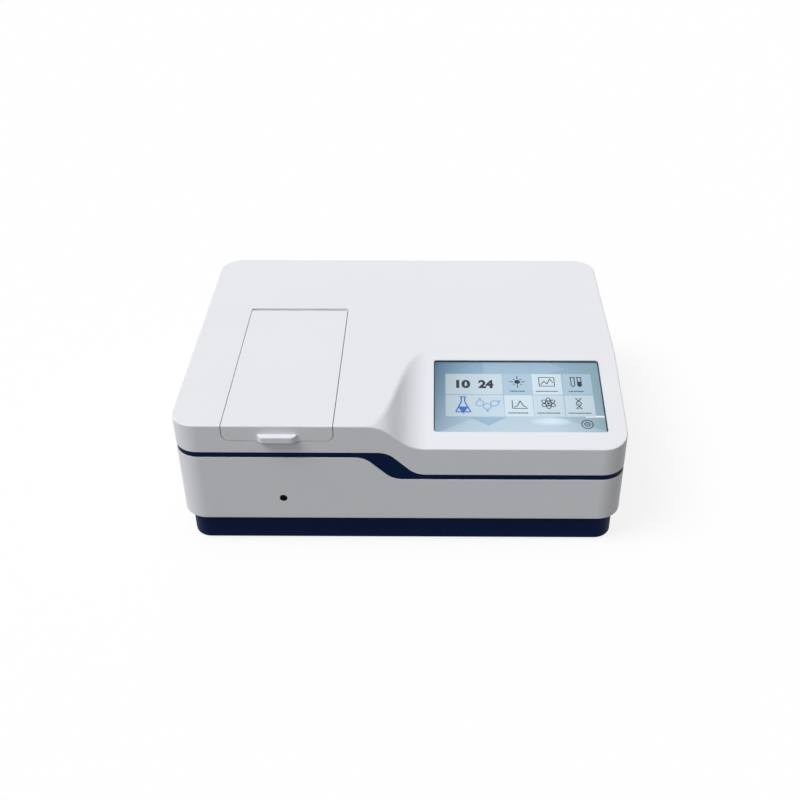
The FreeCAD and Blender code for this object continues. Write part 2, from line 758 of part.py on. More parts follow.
def tray_piece():
    """The dark base tray: a recessed skirt, a floor and a rim that the housing sits on."""
    top = HOUSING_BOTTOM - SEAM_GAP
    body = plan_block(BASE_INSET, CORNER_RADIUS - BASE_INSET, FOOT_HEIGHT, top)
    bottom = [e for e in body.Edges if e.BoundBox.ZMax < FOOT_HEIGHT + 1e-6]
    body = body.makeFillet(BASE_RIM_RADIUS, bottom)
    step = BASE_INSET + RIM_STEP
    rim = plan_block(step, CORNER_RADIUS - step, top - OVERCUT, HOUSING_BOTTOM + RIM_RISE)
    inside = BASE_INSET + BASE_WALL
    hollow = plan_block(inside, CORNER_RADIUS - inside, FOOT_HEIGHT + TRAY_FLOOR, HEIGHT)
    body = body.fuse(rim).cut(hollow)
    columns = []
    cuts = vent_slots(FOOT_HEIGHT - OVERCUT, FOOT_HEIGHT + TRAY_FLOOR + OVERCUT)
    sink = FOOT_HEIGHT + SCREW_SINK + SCREW_HEAD
    for x, y in column_places():
        high = COLUMN_SEAT - SEAT_GAP - FOOT_HEIGHT - TRAY_FLOOR / 2
        column = rod(x, y, FOOT_HEIGHT + TRAY_FLOOR / 2, TRAY_COLUMN_RADIUS, high)
        columns.append(column.common(plan_block(step, CORNER_RADIUS - step, FOOT_HEIGHT, HEIGHT)))
        well = SCREW_SINK + SCREW_HEAD + OVERCUT
        cuts.append(rod(x, y, FOOT_HEIGHT - OVERCUT, SCREW_HEAD_RADIUS + SCREW_GAP, well))
        cuts.append(rod(x, y, sink - OVERCUT, SCREW_RADIUS + SCREW_GAP, COLUMN_SEAT))
    for x, y in foot_places():
        cuts.append(rod(x, y, FOOT_HEIGHT - OVERCUT, SPIGOT_RADIUS + PIN_GAP, TRAY_FLOOR + 2 * OVERCUT))
    return fuse_all([body] + columns).cut(cuts)


def foot_places():
    return [(-FOOT_X, -FOOT_Y), (FOOT_X, -FOOT_Y), (FOOT_X, FOOT_Y), (-FOOT_X, FOOT_Y)]


def feet_piece():
    """Four rubber feet, each pushed into the tray by a spigot."""
    feet = []
    for x, y in foot_places():
        disc = rod(x, y, 0.0, FOOT_RADIUS, FOOT_HEIGHT)
        low = [e for e in disc.Edges if e.BoundBox.ZMax < 1e-6]
        disc = disc.makeFillet(FOOT_EDGE, low)
        spigot = rod(x, y, FOOT_HEIGHT / 2, SPIGOT_RADIUS, FOOT_HEIGHT / 2 + TRAY_FLOOR - SEAT_GAP)
        feet.append(disc.fuse(spigot).removeSplitter())
    return Part.makeCompound(feet)


def cover_screws_piece():
    """Four long screws that pull the cover down on the tray."""
    low = FOOT_HEIGHT + SCREW_SINK
    screws = []
    for x, y in column_places():
        screws.append(screw(x, y, low, SCREW_RADIUS, SCREW_HEAD_RADIUS, SCREW_HEAD, SCREW_LENGTH))
    return Part.makeCompound(screws)


def chassis_piece():
    """The sheet-steel floor with the studs of the main board pressed in."""
    low = FOOT_HEIGHT + TRAY_FLOOR
    edge = BASE_INSET + BASE_WALL + CHASSIS_ROOM
    plate = plan_block(edge, CORNER_RADIUS - edge, low, low + CHASSIS_THICK)
    cuts = vent_slots(low - OVERCUT, low + CHASSIS_THICK + OVERCUT)
    for x, y in column_places():
        cuts.append(rod(x, y, low - OVERCUT, TRAY_COLUMN_RADIUS + BENCH_HOLE_ROOM,
                        CHASSIS_THICK + 2 * OVERCUT))
    studs = [plate.cut(cuts)]
    for x, y in board_studs():
        studs.append(rod(x, y, low + CHASSIS_THICK / 2, STUD_RADIUS, BOARD_Z - low - CHASSIS_THICK / 2))
    return fuse_all(studs)


def board_studs():
    xs = (BOARD_LEFT + STUD_INSET, BOARD_RIGHT - STUD_INSET)
    ys = (BOARD_FRONT + STUD_INSET, BOARD_REAR - STUD_INSET)
    return [(x, y) for x in xs for y in ys]


def pillar_places():
    left = BENCH_LEFT + PILLAR_INSET
    right = BENCH_RIGHT - PILLAR_INSET
    rear = BENCH_REAR - PILLAR_INSET
    step_x = BENCH_STEP_X - PILLAR_INSET
    return [(left, BENCH_FRONT + PILLAR_INSET), (step_x, BENCH_FRONT + PILLAR_INSET), (left, rear),
            (step_x, rear), (right, rear), (right, BENCH_STEP_Y + PILLAR_INSET)]


def pillars_piece():
    """Six turned pillars between the chassis and the optical bench."""
    low = chassis_top()
    return Part.makeCompound([rod(x, y, low, PILLAR_RADIUS, BENCH_LOW - low) for x, y in pillar_places()])


def chassis_top():
    return FOOT_HEIGHT + TRAY_FLOOR + CHASSIS_THICK


def motor_place():
    """The wavelength motor stands one centre distance in front of the grating's axis."""
    return GRATING_X + GEAR_MODULE * (SECTOR_TEETH + PINION_TEETH) / 2, GRATING_Y


def bench_piece():
    """The aluminium plate that holds all the optics in line."""
    corners = [V(BENCH_LEFT, BENCH_FRONT, BENCH_LOW), V(BENCH_STEP_X, BENCH_FRONT, BENCH_LOW),
               V(BENCH_STEP_X, BENCH_STEP_Y, BENCH_LOW), V(BENCH_RIGHT, BENCH_STEP_Y, BENCH_LOW),
               V(BENCH_RIGHT, BENCH_REAR, BENCH_LOW), V(BENCH_LEFT, BENCH_REAR, BENCH_LOW)]
    plate = Part.Face(Part.makePolygon(corners + [corners[0]])).extrude(V(0, 0, BENCH_TOP - BENCH_LOW))
    upright = [e for e in plate.Edges if abs(e.tangentAt(0).z) > 0.9]
    plate = plate.makeFillet(BENCH_CORNER, upright)
    x, y = motor_place()
    half = MOTOR_SIZE / 2 + BENCH_HOLE_ROOM
    cuts = [block(x - half, x + half, y - half, y + half, BENCH_LOW - OVERCUT, BENCH_TOP + OVERCUT),
            rod(GRATING_X, GRATING_Y, BENCH_LOW - OVERCUT, SHAFT_RADIUS + SHAFT_ROOM,
                BENCH_THICK + 2 * OVERCUT)]
    return plate.cut(cuts)


def lid_piece():
    """The sample lid: a thin plate with a front lap, a pull tab and a hinge barrel."""
    top = lid_outline(0.0, 0.0, LID_REAR_RADIUS, HEIGHT - WALL, HEIGHT)
    top = top.common(block(LID_LEFT, LID_RIGHT, FRONT, HINGE_Y, HEIGHT - WALL, HEIGHT))
    barrel = rod(LID_LEFT, HINGE_Y, HINGE_Z, BARREL_RADIUS, LID_RIGHT - LID_LEFT, "x")
    barrel = barrel.common(lid_outline(0.0, 0.0, LID_REAR_RADIUS, HINGE_Z - BARREL_RADIUS, HEIGHT))
    lap = front_lap(FRONT, FRONT + WALL, HEIGHT, 0.0)
    body = fuse_all([top, barrel, lap])
    edge = []
    for e in body.Edges:
        box = e.BoundBox
        if abs(box.ZMin - HEIGHT) < 1e-4 and abs(box.YMax - FRONT) < 1e-4:
            edge.append(e)
    body = body.makeFillet(TOP_EDGE_RADIUS, edge)
    ribs = []
    for x in (LID_LEFT + RIB_INSET, LID_RIGHT - RIB_INSET - RIB_THICK):
        ribs.append(block(x, x + RIB_THICK, FRONT + WALL / 2, HINGE_Y - RIB_SHY, RIB_LOW,
                          HEIGHT - WALL / 2))
    body = fuse_all([body, handle_tab()] + ribs)
    cuts = [rod(LID_LEFT - OVERCUT, HINGE_Y, HINGE_Z, PIN_RADIUS + PIN_GAP,
                LID_RIGHT - LID_LEFT + 2 * OVERCUT, "x")]
    for x in knuckle_places():
        cuts += knuckle_hollow(x)
    return body.cut(cuts)


def handle_tab():
    """The pull tab: a plate that narrows forwards, with rounded corners."""
    corners = [(-HANDLE_ROOT_HALF, FRONT + WALL / 2), (HANDLE_ROOT_HALF, FRONT + WALL / 2),
               (HANDLE_TIP_HALF, FRONT - HANDLE_OUT), (-HANDLE_TIP_HALF, FRONT - HANDLE_OUT)]
    low = HANDLE_TOP - HANDLE_THICK
    points = [V(LID_X + x, y, low) for x, y in corners]
    tab = Part.Face(Part.makePolygon(points + [points[0]])).extrude(V(0, 0, HANDLE_THICK))
    upright = []
    for e in tab.Edges:
        if abs(e.tangentAt(0).z) > 0.9 and e.CenterOfMass.y < FRONT - HANDLE_OUT / 2:
            upright.append(e)
    tab = tab.makeFillet(HANDLE_RADIUS, upright)
    rims = []
    for e in tab.Edges:
        if e.BoundBox.ZLength < 1e-6 and e.CenterOfMass.y < FRONT:
            rims.append(e)
    return tab.makeFillet(HANDLE_EDGE, rims)


def knuckle_places():
    """The middle of each hinge bracket along the lid's rear edge."""
    return (LID_LEFT + KNUCKLE_INSET, LID_RIGHT - KNUCKLE_INSET)


def knuckle_hollow(x):
    """What the lid's barrel leaves free for a bracket, over the whole swing."""
    x0 = x - KNUCKLE_WIDTH / 2 - BARREL_ROOM
    x1 = x + KNUCKLE_WIDTH / 2 + BARREL_ROOM
    reach = BARREL_RADIUS + BARREL_ROOM
    bore = rod(x0, HINGE_Y, HINGE_Z, BARREL_HOLLOW, x1 - x0, "x")
    under = block(x0, x1, HINGE_Y - reach, HINGE_Y + reach, HINGE_Z - reach, HINGE_Z)
    front = block(x0, x1, HINGE_Y - reach, HINGE_Y, HINGE_Z - OVERCUT, HEIGHT - WALL)
    return [bore, under, front]


def brackets_piece():
    """Two hinge brackets: a knuckle round the pin on an upright from the tub's flange."""
    solids = []
    for x in knuckle_places():
        x0 = x - KNUCKLE_WIDTH / 2
        knuckle = rod(x0, HINGE_Y, HINGE_Z, KNUCKLE_RADIUS, KNUCKLE_WIDTH, "x")
        upright = block(x0, x0 + KNUCKLE_WIDTH, HINGE_Y - BRACKET_BACK, HINGE_Y - BRACKET_FRONT,
                        TUB_RIM, HINGE_Z)
        body = fuse_all([knuckle, upright])
        solids.append(body.cut(rod(x0 - OVERCUT, HINGE_Y, HINGE_Z, PIN_RADIUS + PRESS_GAP,
                                   KNUCKLE_WIDTH + 2 * OVERCUT, "x")))
    return Part.makeCompound(solids)


def hinge_pin_piece():
    """The steel hinge pin, which runs the whole width of the lid."""
    length = LID_RIGHT - LID_LEFT - 2 * PIN_SHY
    return rod(LID_LEFT + PIN_SHY, HINGE_Y, HINGE_Z, PIN_RADIUS, length, "x")


def liner_piece():
    """The black inner panel of the lid, with the light-trap rim that enters the mouth."""
    top = HEIGHT - WALL
    low = top - LINER_THICK
    plate = rounded_block(TUB_LEFT - LINER_LAP, TUB_RIGHT + LINER_LAP, TUB_FRONT - LINER_LAP,
                          TUB_REAR + LINER_REAR_LAP, low, top, LINER_CORNER)
    gap = TRAP_GAP
    outer = rounded_block(TUB_LEFT + gap, TUB_RIGHT - gap, TUB_FRONT + gap, TUB_REAR - gap,
                          TRAP_LOW, low + LINER_THICK / 2, LINER_CORNER)
    gap += TRAP_WALL
    inner = rounded_block(TUB_LEFT + gap, TUB_RIGHT - gap, TUB_FRONT + gap, TUB_REAR - gap,
                          TRAP_LOW - OVERCUT, low, LINER_CORNER - TRAP_WALL)
    return plate.fuse(outer.cut(inner)).removeSplitter()


def seal_piece():
    """The soft seal round the compartment's mouth, just under the lid's liner."""
    first = SEAL_START
    last = first + SEAL_WIDTH
    high = HEIGHT - WALL - LINER_THICK - SEAT_GAP
    outer = rounded_block(TUB_LEFT - last, TUB_RIGHT + last, TUB_FRONT - last, TUB_REAR + last,
                          TUB_RIM, high, SEAL_CORNER + SEAL_WIDTH)
    inner = rounded_block(TUB_LEFT - first, TUB_RIGHT + first, TUB_FRONT - first, TUB_REAR + first,
                          TUB_RIM - OVERCUT, high + OVERCUT, SEAL_CORNER)
    return outer.cut(inner)


def tub_piece():
    """The black sample compartment: a deep tub with a flange, four legs and beam holes."""
    w = TUB_WALL
    f = TUB_WALL + TUB_FLANGE
    body = rounded_block(TUB_LEFT - w, TUB_RIGHT + w, TUB_FRONT - w, TUB_REAR + w,
                         TUB_FLOOR - w, TUB_RIM, TUB_CORNER + w)
    flange = rounded_block(TUB_LEFT - f, TUB_RIGHT + f, TUB_FRONT - f, TUB_REAR + f,
                           TUB_RIM - w, TUB_RIM, FLANGE_CORNER)
    legs = []
    for x in (TUB_LEFT + TUB_LEG_INSET_X, TUB_RIGHT - TUB_LEG_INSET_X):
        for y in (BENCH_FRONT + TUB_LEG_INSET_Y, TUB_REAR - TUB_LEG_INSET_Y):
            legs.append(rod(x, y, BENCH_TOP, TUB_LEG_RADIUS, TUB_FLOOR - w / 2 - BENCH_TOP))
    body = fuse_all([body, flange] + legs)
    mouth = rounded_block(TUB_LEFT, TUB_RIGHT, TUB_FRONT, TUB_REAR, TUB_FLOOR, TUB_RIM + OVERCUT, TUB_CORNER)
    cuts = [mouth,
            rod(TUB_LEFT - f, BEAM_Y, BEAM_Z, BEAM_HOLE, TUB_RIGHT - TUB_LEFT + 2 * f, "x"),
            rod(ROD_X, TUB_FRONT - w - OVERCUT, ROD_Z, ROD_RADIUS + SEAT_GAP, w + 2 * OVERCUT, "y")]
    return body.cut(cuts)


def windows_piece():
    """Two quartz windows that close the beam holes of the tub."""
    length = WINDOW_THICK
    left = rod(TUB_LEFT - TUB_WALL - length, BEAM_Y, BEAM_Z, WINDOW_RADIUS, length, "x")
    right = rod(TUB_RIGHT + TUB_WALL, BEAM_Y, BEAM_Z, WINDOW_RADIUS, length, "x")
    return Part.makeCompound([left, right])


def bush_piece():
    """The black bush that lines the rod port in the front wall."""
    sleeve = rod(ROD_X, FRONT, ROD_Z, PORT_RADIUS - PIN_GAP, WALL + BUSH_BACK, "y")
    collar = rod(ROD_X, FRONT + WALL, ROD_Z, PORT_RADIUS + BUSH_COLLAR, BUSH_BACK, "y")
    body = sleeve.fuse(collar).removeSplitter()
    return body.cut(rod(ROD_X, FRONT - OVERCUT, ROD_Z, ROD_RADIUS + SLIDE_GAP,
                        WALL + BUSH_BACK + 2 * OVERCUT, "y"))


def guides_piece():
    """Two steel guide rods between the tub's end walls."""
    length = TUB_REAR - TUB_FRONT
    return Part.makeCompound([rod(ROD_X + side * GUIDE_SPREAD, TUB_FRONT, ROD_Z, GUIDE_RADIUS, length, "y")
                              for side in (-1, 1)])


def rack_front():
    return BEAM_Y - CELL_SIZE / 2 - RACK_WALL


def rack_piece():
    """The four-cell rack: a milled block that slides on the guide rods."""
    half = CELL_SIZE / 2 + RACK_WALL
    rear = BEAM_Y + (CELL_COUNT - 1) * CELL_PITCH + half
    wide = GUIDE_SPREAD + GUIDE_RADIUS + RACK_WALL
    base = block(ROD_X - wide, ROD_X + wide, rack_front(), rear, RACK_BASE_LOW, RACK_BASE_TOP)
    tower = block(ROD_X - half, ROD_X + half, rack_front(), rear, ROD_Z, RACK_TOP)
    cuts = []
    for k in range(CELL_COUNT):
        y = BEAM_Y + k * CELL_PITCH
        side = CELL_SIZE / 2
        cuts.append(block(ROD_X - side, ROD_X + side, y - side, y + side, RACK_BASE_TOP, RACK_TOP + OVERCUT))
        cuts.append(block(ROD_X - half - OVERCUT, ROD_X + half + OVERCUT, y - CELL_SLOT_HALF,
                          y + CELL_SLOT_HALF, BEAM_Z - CELL_SLOT_RISE, BEAM_Z + CELL_SLOT_RISE))
    for side in (-1, 1):
        cuts.append(rod(ROD_X + side * GUIDE_SPREAD, rack_front() - OVERCUT, ROD_Z,
                        GUIDE_RADIUS + SLIDE_GAP, rear - rack_front() + 2 * OVERCUT, "y"))
    cuts.append(rod(ROD_X, rack_front() - OVERCUT, ROD_Z, ROD_RADIUS + PRESS_GAP, ROD_SOCKET + OVERCUT, "y"))
    return base.fuse(tower).removeSplitter().cut(cuts)


def pull_rod_piece():
    """The pull rod, which ends just inside the port when it is pushed home."""
    front = FRONT + ROD_SHY
    body = rod(ROD_X, front, ROD_Z, ROD_RADIUS, rack_front() + ROD_SOCKET - front, "y")
    tip = [e for e in body.Edges if e.BoundBox.YMax < front + 1e-6]
    return body.makeChamfer(ROD_CHAMFER, tip)


def tubes_piece():
    """Two black tubes that keep stray light off the beam on its way in and out."""
    solids = []
    start = TUB_RIGHT + TUB_WALL + WINDOW_THICK + SEAT_GAP
    for x, y in ((start, BEAM_Y), (LAMP_RIGHT, SOURCE_Y)):
        outer = rod(x, y, BEAM_Z, TUBE_RADIUS, MONO_LEFT - x, "x")
        bore = rod(x - OVERCUT, y, BEAM_Z, TUBE_BORE, MONO_LEFT - x + 2 * OVERCUT, "x")
        solids.append(outer.cut(bore))
    return Part.makeCompound(solids)


def lens_piece():
    """The biconvex lens in the beam tube."""
    x = (TUB_RIGHT + MONO_LEFT) / 2
    body = rod(x - LENS_HALF, BEAM_Y, BEAM_Z, TUBE_BORE - PRESS_GAP, 2 * LENS_HALF, "x")
    for side in (-1, 1):
        ball = Part.makeSphere(LENS_CURVE, V(x + side * (LENS_CURVE - LENS_HALF), BEAM_Y, BEAM_Z))
        body = body.common(ball)
    return body


def detector_bracket_piece():
    """The detector's angle bracket with its entry tube."""
    x = DETECTOR_X
    face = x + DETECTOR_PLATE
    left = BEAM_Y - DETECTOR_HALF
    right = BEAM_Y + DETECTOR_HALF
    foot = block(x - DETECTOR_FOOT, face, left, right, BENCH_TOP, BENCH_TOP + DETECTOR_PLATE)
    upright = block(x, face, left, right, BENCH_TOP, BEAM_Z + DETECTOR_HALF)
    nose = rod(x, BEAM_Y, BEAM_Z, TUBE_RADIUS, DETECTOR_PLATE + DETECTOR_NOSE, "x")
    body = fuse_all([foot, upright, nose])
    return body.cut(rod(x - OVERCUT, BEAM_Y, BEAM_Z, TUBE_BORE,
                        DETECTOR_PLATE + DETECTOR_NOSE + 2 * OVERCUT, "x"))


def detector_board_piece():
    """The preamplifier board with the photodiode can in the bracket's bore."""
    face = DETECTOR_X - SENSOR_BOARD_GAP
    inside = face - BOARD_THICK / 2
    low = BEAM_Z - SENSOR_BOARD_DOWN
    high = BEAM_Z + SENSOR_BOARD_UP
    parts = [block(face - BOARD_THICK, face, BEAM_Y - SENSOR_BOARD_HALF, BEAM_Y + SENSOR_BOARD_HALF, low, high),
             rod(inside, BEAM_Y, BEAM_Z, TUBE_BORE - PIN_GAP, SENSOR_CAN, "x")]
    reach = SENSOR_BOARD_HALF - SPACER_INSET
    for y in (BEAM_Y - reach, BEAM_Y + reach):
        for z in (low + SPACER_INSET, high - SPACER_INSET):
            parts.append(rod(inside, y, z, SPACER_RADIUS, DETECTOR_X - inside, "x"))
    return fuse_all(parts)


def mono_floor():
    return BENCH_TOP + MONO_WALL


def monochromator_piece():
    """The cast monochromator box, open at the top, with its slit holes and shaft bores."""
    w = MONO_WALL
    body = rounded_block(MONO_LEFT, MONO_RIGHT, MONO_FRONT, MONO_REAR, BENCH_TOP, MONO_TOP, MONO_CORNER)
    hollow = rounded_block(MONO_LEFT + w, MONO_RIGHT - w, MONO_FRONT + w, MONO_REAR - w,
                           mono_floor(), MONO_TOP + OVERCUT, MONO_CORNER - w)
    body = body.cut(hollow)
    boss = rod(GRATING_X, GRATING_Y, mono_floor() - OVERCUT, BOSS_WIDE, GEAR_LIFT)
    body = fuse_all([body, boss])
    x, y = motor_place()
    through = w + 2 * OVERCUT
    cuts = [rod(MONO_LEFT - OVERCUT, SOURCE_Y, BEAM_Z, BEAM_HOLE, through, "x"),
            rod(MONO_LEFT - OVERCUT, BEAM_Y, BEAM_Z, BEAM_HOLE, through, "x"),
            rod(GRATING_X, GRATING_Y, BENCH_TOP - OVERCUT, SHAFT_RADIUS + PIN_GAP, through + GEAR_LIFT),
            rod(x, y, BENCH_TOP - OVERCUT, MOTOR_SHAFT_RADIUS + SHAFT_ROOM, through)]
    return body.cut(cuts)


def monochromator_lid_piece():
    """The flat lid of the monochromator."""
    return rounded_block(MONO_LEFT, MONO_RIGHT, MONO_FRONT, MONO_REAR, MONO_TOP,
                         MONO_TOP + MONO_LID_THICK, MONO_CORNER)


def slits_piece():
    """The entrance and exit slits: thin discs with one narrow cut."""
    solids = []
    x = MONO_LEFT + MONO_WALL
    for y in (SOURCE_Y, BEAM_Y):
        disc = rod(x, y, BEAM_Z, SLIT_RADIUS, SLIT_THICK, "x")
        solids.append(disc.cut(block(x - OVERCUT, x + SLIT_THICK + OVERCUT, y - SLIT_HALF, y + SLIT_HALF,
                                     BEAM_Z - SLIT_RISE, BEAM_Z + SLIT_RISE)))
    return Part.makeCompound(solids)


def mirror_stations():
    """Each concave mirror: its y, and the slit that it looks at."""
    return ((GRATING_Y + MIRROR_SPREAD, SOURCE_Y), (GRATING_Y - MIRROR_SPREAD, BEAM_Y))


def aim(y_mirror, y_slit):
    """The turn about Z that makes a mirror throw the slit's light on the grating."""
    to_slit = V(MONO_LEFT + MONO_WALL - MIRROR_X, y_slit - y_mirror, 0).normalize()
    to_grating = V(GRATING_X - MIRROR_X, GRATING_Y - y_mirror, 0).normalize()
    middle = to_slit + to_grating
    return math.degrees(math.atan2(middle.y, middle.x)) - 180.0


def mirror_piece(y, y_slit):
    """A round glass mirror with a hollow front face, aimed between slit and grating."""
    body = rod(MIRROR_X, y, BEAM_Z, MIRROR_RADIUS, MIRROR_THICK, "x")
    ball = Part.makeSphere(MIRROR_CURVE, V(MIRROR_X + MIRROR_DISH - MIRROR_CURVE, y, BEAM_Z))
    body = body.cut(ball)
    body.rotate(V(MIRROR_X, y, 0), V(0, 0, 1), aim(y, y_slit))
    return body


def mounts_piece():
    """The two upright mounts behind the mirrors."""
    solids = []
    for y, y_slit in mirror_stations():
        x = MIRROR_X + MIRROR_THICK
        rear = x + MOUNT_THICK
        low = mono_floor()
        back = block(x, rear, y - MOUNT_HALF, y + MOUNT_HALF, low, BEAM_Z + MOUNT_RISE)
        foot = block(x - MOUNT_TOE, rear, y - MOUNT_HALF, y + MOUNT_HALF, low, low + MOUNT_FOOT)
        body = fuse_all([back, foot])
        body.rotate(V(MIRROR_X, y, 0), V(0, 0, 1), aim(y, y_slit))
        solids.append(body)
    return Part.makeCompound(solids)


def gear_low():
    return mono_floor() + GEAR_LIFT + SEAT_GAP


def gear_face(teeth, first, count):
    """An involute gear outline about the origin; only count teeth stand, from index first."""
    pitch = GEAR_MODULE * teeth / 2
    base = pitch * math.cos(PRESSURE_ANGLE)
    tip = pitch + GEAR_MODULE
    root = pitch - ROOT_DEPTH * GEAR_MODULE
    start = max(base, root)
    spread = math.tan(PRESSURE_ANGLE) - PRESSURE_ANGLE
    half_tooth = math.pi / (2 * teeth) - TOOTH_BACKLASH / (2 * pitch)

    def flank(radius):
        """Half the angle of a tooth at this radius."""
        bend = math.acos(min(1.0, base / radius))
        return half_tooth + spread - (math.tan(bend) - bend)

    points = []
    for k in range(first, first + count):
        middle = 2 * math.pi * k / teeth
        radii = [start + (tip - start) * step / FLANK_STEPS for step in range(FLANK_STEPS + 1)]
        rising = [(root, -flank(start))] if root < start else []
        rising += [(radius, -flank(radius)) for radius in radii]
        for radius, angle in rising + [(r, -a) for r, a in reversed(rising)]:
            points.append(V(radius * math.cos(middle + angle), radius * math.sin(middle + angle), 0))
    return points


def sector_piece():
    """The grating turntable: a shaft, a toothed sector that drives it, and the holder."""
    half_count = SECTOR_SPAN_TEETH // 2
    teeth = gear_face(SECTOR_TEETH, -half_count, SECTOR_SPAN_TEETH)
    outline = [V(0, 0, 0)] + teeth
    face = Part.Face(Part.makePolygon(outline + [outline[0]]))
    sector = face.extrude(V(0, 0, GEAR_THICK))
    window_out = GEAR_MODULE * SECTOR_TEETH / 2 - SECTOR_RIM
    deep = GEAR_THICK + 2 * OVERCUT
    under = V(0, 0, -OVERCUT)
    window = Part.makeCylinder(window_out, deep, under, V(0, 0, 1), SECTOR_WINDOW_TURN)
    window = window.cut(Part.makeCylinder(SECTOR_WINDOW_IN, deep, under))
    window.rotate(V(0, 0, 0), V(0, 0, 1), -SECTOR_WINDOW_TURN / 2)
    sector = sector.cut(window)
    sector = sector.fuse(Part.makeCylinder(SECTOR_HUB, GEAR_THICK))
    sector.translate(V(GRATING_X, GRATING_Y, gear_low()))
    top = gear_low() + GEAR_THICK
    table = rod(GRATING_X, GRATING_Y, top - OVERCUT, TABLE_RADIUS, TABLE_THICK + OVERCUT)
    back = GRATING_X - GRATING_THICK
    wide = GRATING_SIZE / 2
    holder = block(back - HOLDER_THICK, back, GRATING_Y - wide / 2, GRATING_Y + wide / 2,
                   top, BEAM_Z + wide)
    shelf = block(back - HOLDER_THICK, GRATING_X, GRATING_Y - wide / 2, GRATING_Y + wide / 2,
                  top, BEAM_Z - wide)
    shaft = rod(GRATING_X, GRATING_Y, BENCH_TOP + SEAT_GAP, SHAFT_RADIUS, top - BENCH_TOP)
    return fuse_all([sector, table, holder, shelf, shaft])


def grating_piece():
    """The ruled grating blank, its face on the axis of the turntable."""
    half = GRATING_SIZE / 2
    return block(GRATING_X - GRATING_THICK, GRATING_X, GRATING_Y - half, GRATING_Y + half,
                 BEAM_Z - half, BEAM_Z + half)


def pinion_piece():
    """The motor's pinion on its shaft, turned half a tooth so that it meshes."""
    outline = gear_face(PINION_TEETH, 0, PINION_TEETH)
    gear = Part.Face(Part.makePolygon(outline + [outline[0]])).extrude(V(0, 0, GEAR_THICK))
    gear.rotate(V(0, 0, 0), V(0, 0, 1), 180.0 / PINION_TEETH)
    x, y = motor_place()
    gear.translate(V(x, y, gear_low()))
    shaft = rod(x, y, BENCH_TOP - MOTOR_SOCKET + SEAT_GAP, MOTOR_SHAFT_RADIUS,
                gear_low() + GEAR_THICK + PINION_PROUD - BENCH_TOP + MOTOR_SOCKET - SEAT_GAP)
    return fuse_all([gear, shaft])


def motor_piece():
    """The stepping motor under the monochromator's floor."""
    x, y = motor_place()
    half = MOTOR_SIZE / 2
    body = block(x - half, x + half, y - half, y + half, BENCH_TOP - MOTOR_LENGTH, BENCH_TOP)
    upright = [e for e in body.Edges if abs(e.tangentAt(0).z) > 0.9]
    body = body.makeChamfer(MOTOR_CHAMFER, upright)
    return body.cut(rod(x, y, BENCH_TOP - MOTOR_SOCKET, MOTOR_SHAFT_RADIUS + PIN_GAP,
                        MOTOR_SOCKET + OVERCUT))


def wheel_centre():
    return SOURCE_Y - FILTER_CIRCLE, BEAM_Z


def filter_places():
    y, z = wheel_centre()
    places = []
    for k in range(FILTER_COUNT):
        angle = math.pi / 2 + 2 * math.pi * (k + FILTER_PHASE) / FILTER_COUNT
        places.append((y + FILTER_CIRCLE * math.cos(angle), z + FILTER_CIRCLE * math.sin(angle)))
    return places


def wheel_piece():
    """The filter wheel with its six holes and its short shaft."""
    y, z = wheel_centre()
    disc = rod(WHEEL_X, y, z, WHEEL_RADIUS, WHEEL_THICK, "x")
    disc = disc.cut([rod(WHEEL_X - OVERCUT, fy, fz, FILTER_RADIUS, WHEEL_THICK + 2 * OVERCUT, "x")
                     for fy, fz in filter_places()])
    shaft = rod(WHEEL_X, y, z, PIN_RADIUS, WHEEL_THICK + WHEEL_SHAFT, "x")
    return fuse_all([disc, shaft])


def filters_piece():
    """The order-sorting glasses that fill the wheel's holes."""
    x = WHEEL_X + FILTER_RECESS
    thick = WHEEL_THICK - 2 * FILTER_RECESS
    return Part.makeCompound([rod(x, y, z, FILTER_RADIUS - PRESS_GAP, thick, "x") for y, z in filter_places()])


def filter_bracket_piece():
    """The upright plate that carries the filter wheel's motor."""
    y, z = wheel_centre()
    x = WHEEL_X + WHEEL_THICK + WHEEL_GAP
    r = WHEEL_MOTOR_RADIUS
    low = mono_floor()
    plate = block(x, x + WHEEL_PLATE, y - r, y + r, low, z + r)
    foot = block(x, x + WHEEL_FOOT, y - r, y + r, low, low + WHEEL_PLATE)
    body = fuse_all([plate, foot])
    return body.cut(rod(x - OVERCUT, y, z, PIN_RADIUS + SEAT_GAP, WHEEL_PLATE + 2 * OVERCUT, "x"))


def filter_motor_piece():
    """The small motor behind the bracket."""
    y, z = wheel_centre()
    x = WHEEL_X + WHEEL_THICK + WHEEL_GAP + WHEEL_PLATE
    body = rod(x, y, z, WHEEL_MOTOR_RADIUS, WHEEL_MOTOR_LONG, "x")
    return body.cut(rod(x - OVERCUT, y, z, PIN_RADIUS + PIN_GAP, WHEEL_SHAFT, "x"))


def lamp_floor():
    return BENCH_TOP + LAMP_WALL


def lamp_house_piece():
    """The folded aluminium lamp house, with air slots in its rear wall."""
    w = LAMP_WALL
    body = block(LAMP_LEFT, LAMP_RIGHT, LAMP_FRONT, LAMP_REAR, BENCH_TOP, LAMP_TOP)
    hollow = block(LAMP_LEFT + w, LAMP_RIGHT - w, LAMP_FRONT + w, LAMP_REAR - w, lamp_floor(),
                   LAMP_TOP + OVERCUT)
    cuts = [hollow, rod(LAMP_RIGHT - w - OVERCUT, SOURCE_Y, BEAM_Z, BEAM_HOLE, w + 2 * OVERCUT, "x")]
    for x in air_slot_places():
        cuts.append(block(x, x + AIR_WIDTH, LAMP_REAR - w - OVERCUT, LAMP_REAR + OVERCUT,
                          BENCH_TOP + AIR_LOW, LAMP_TOP - AIR_INSET))
    return body.cut(cuts)


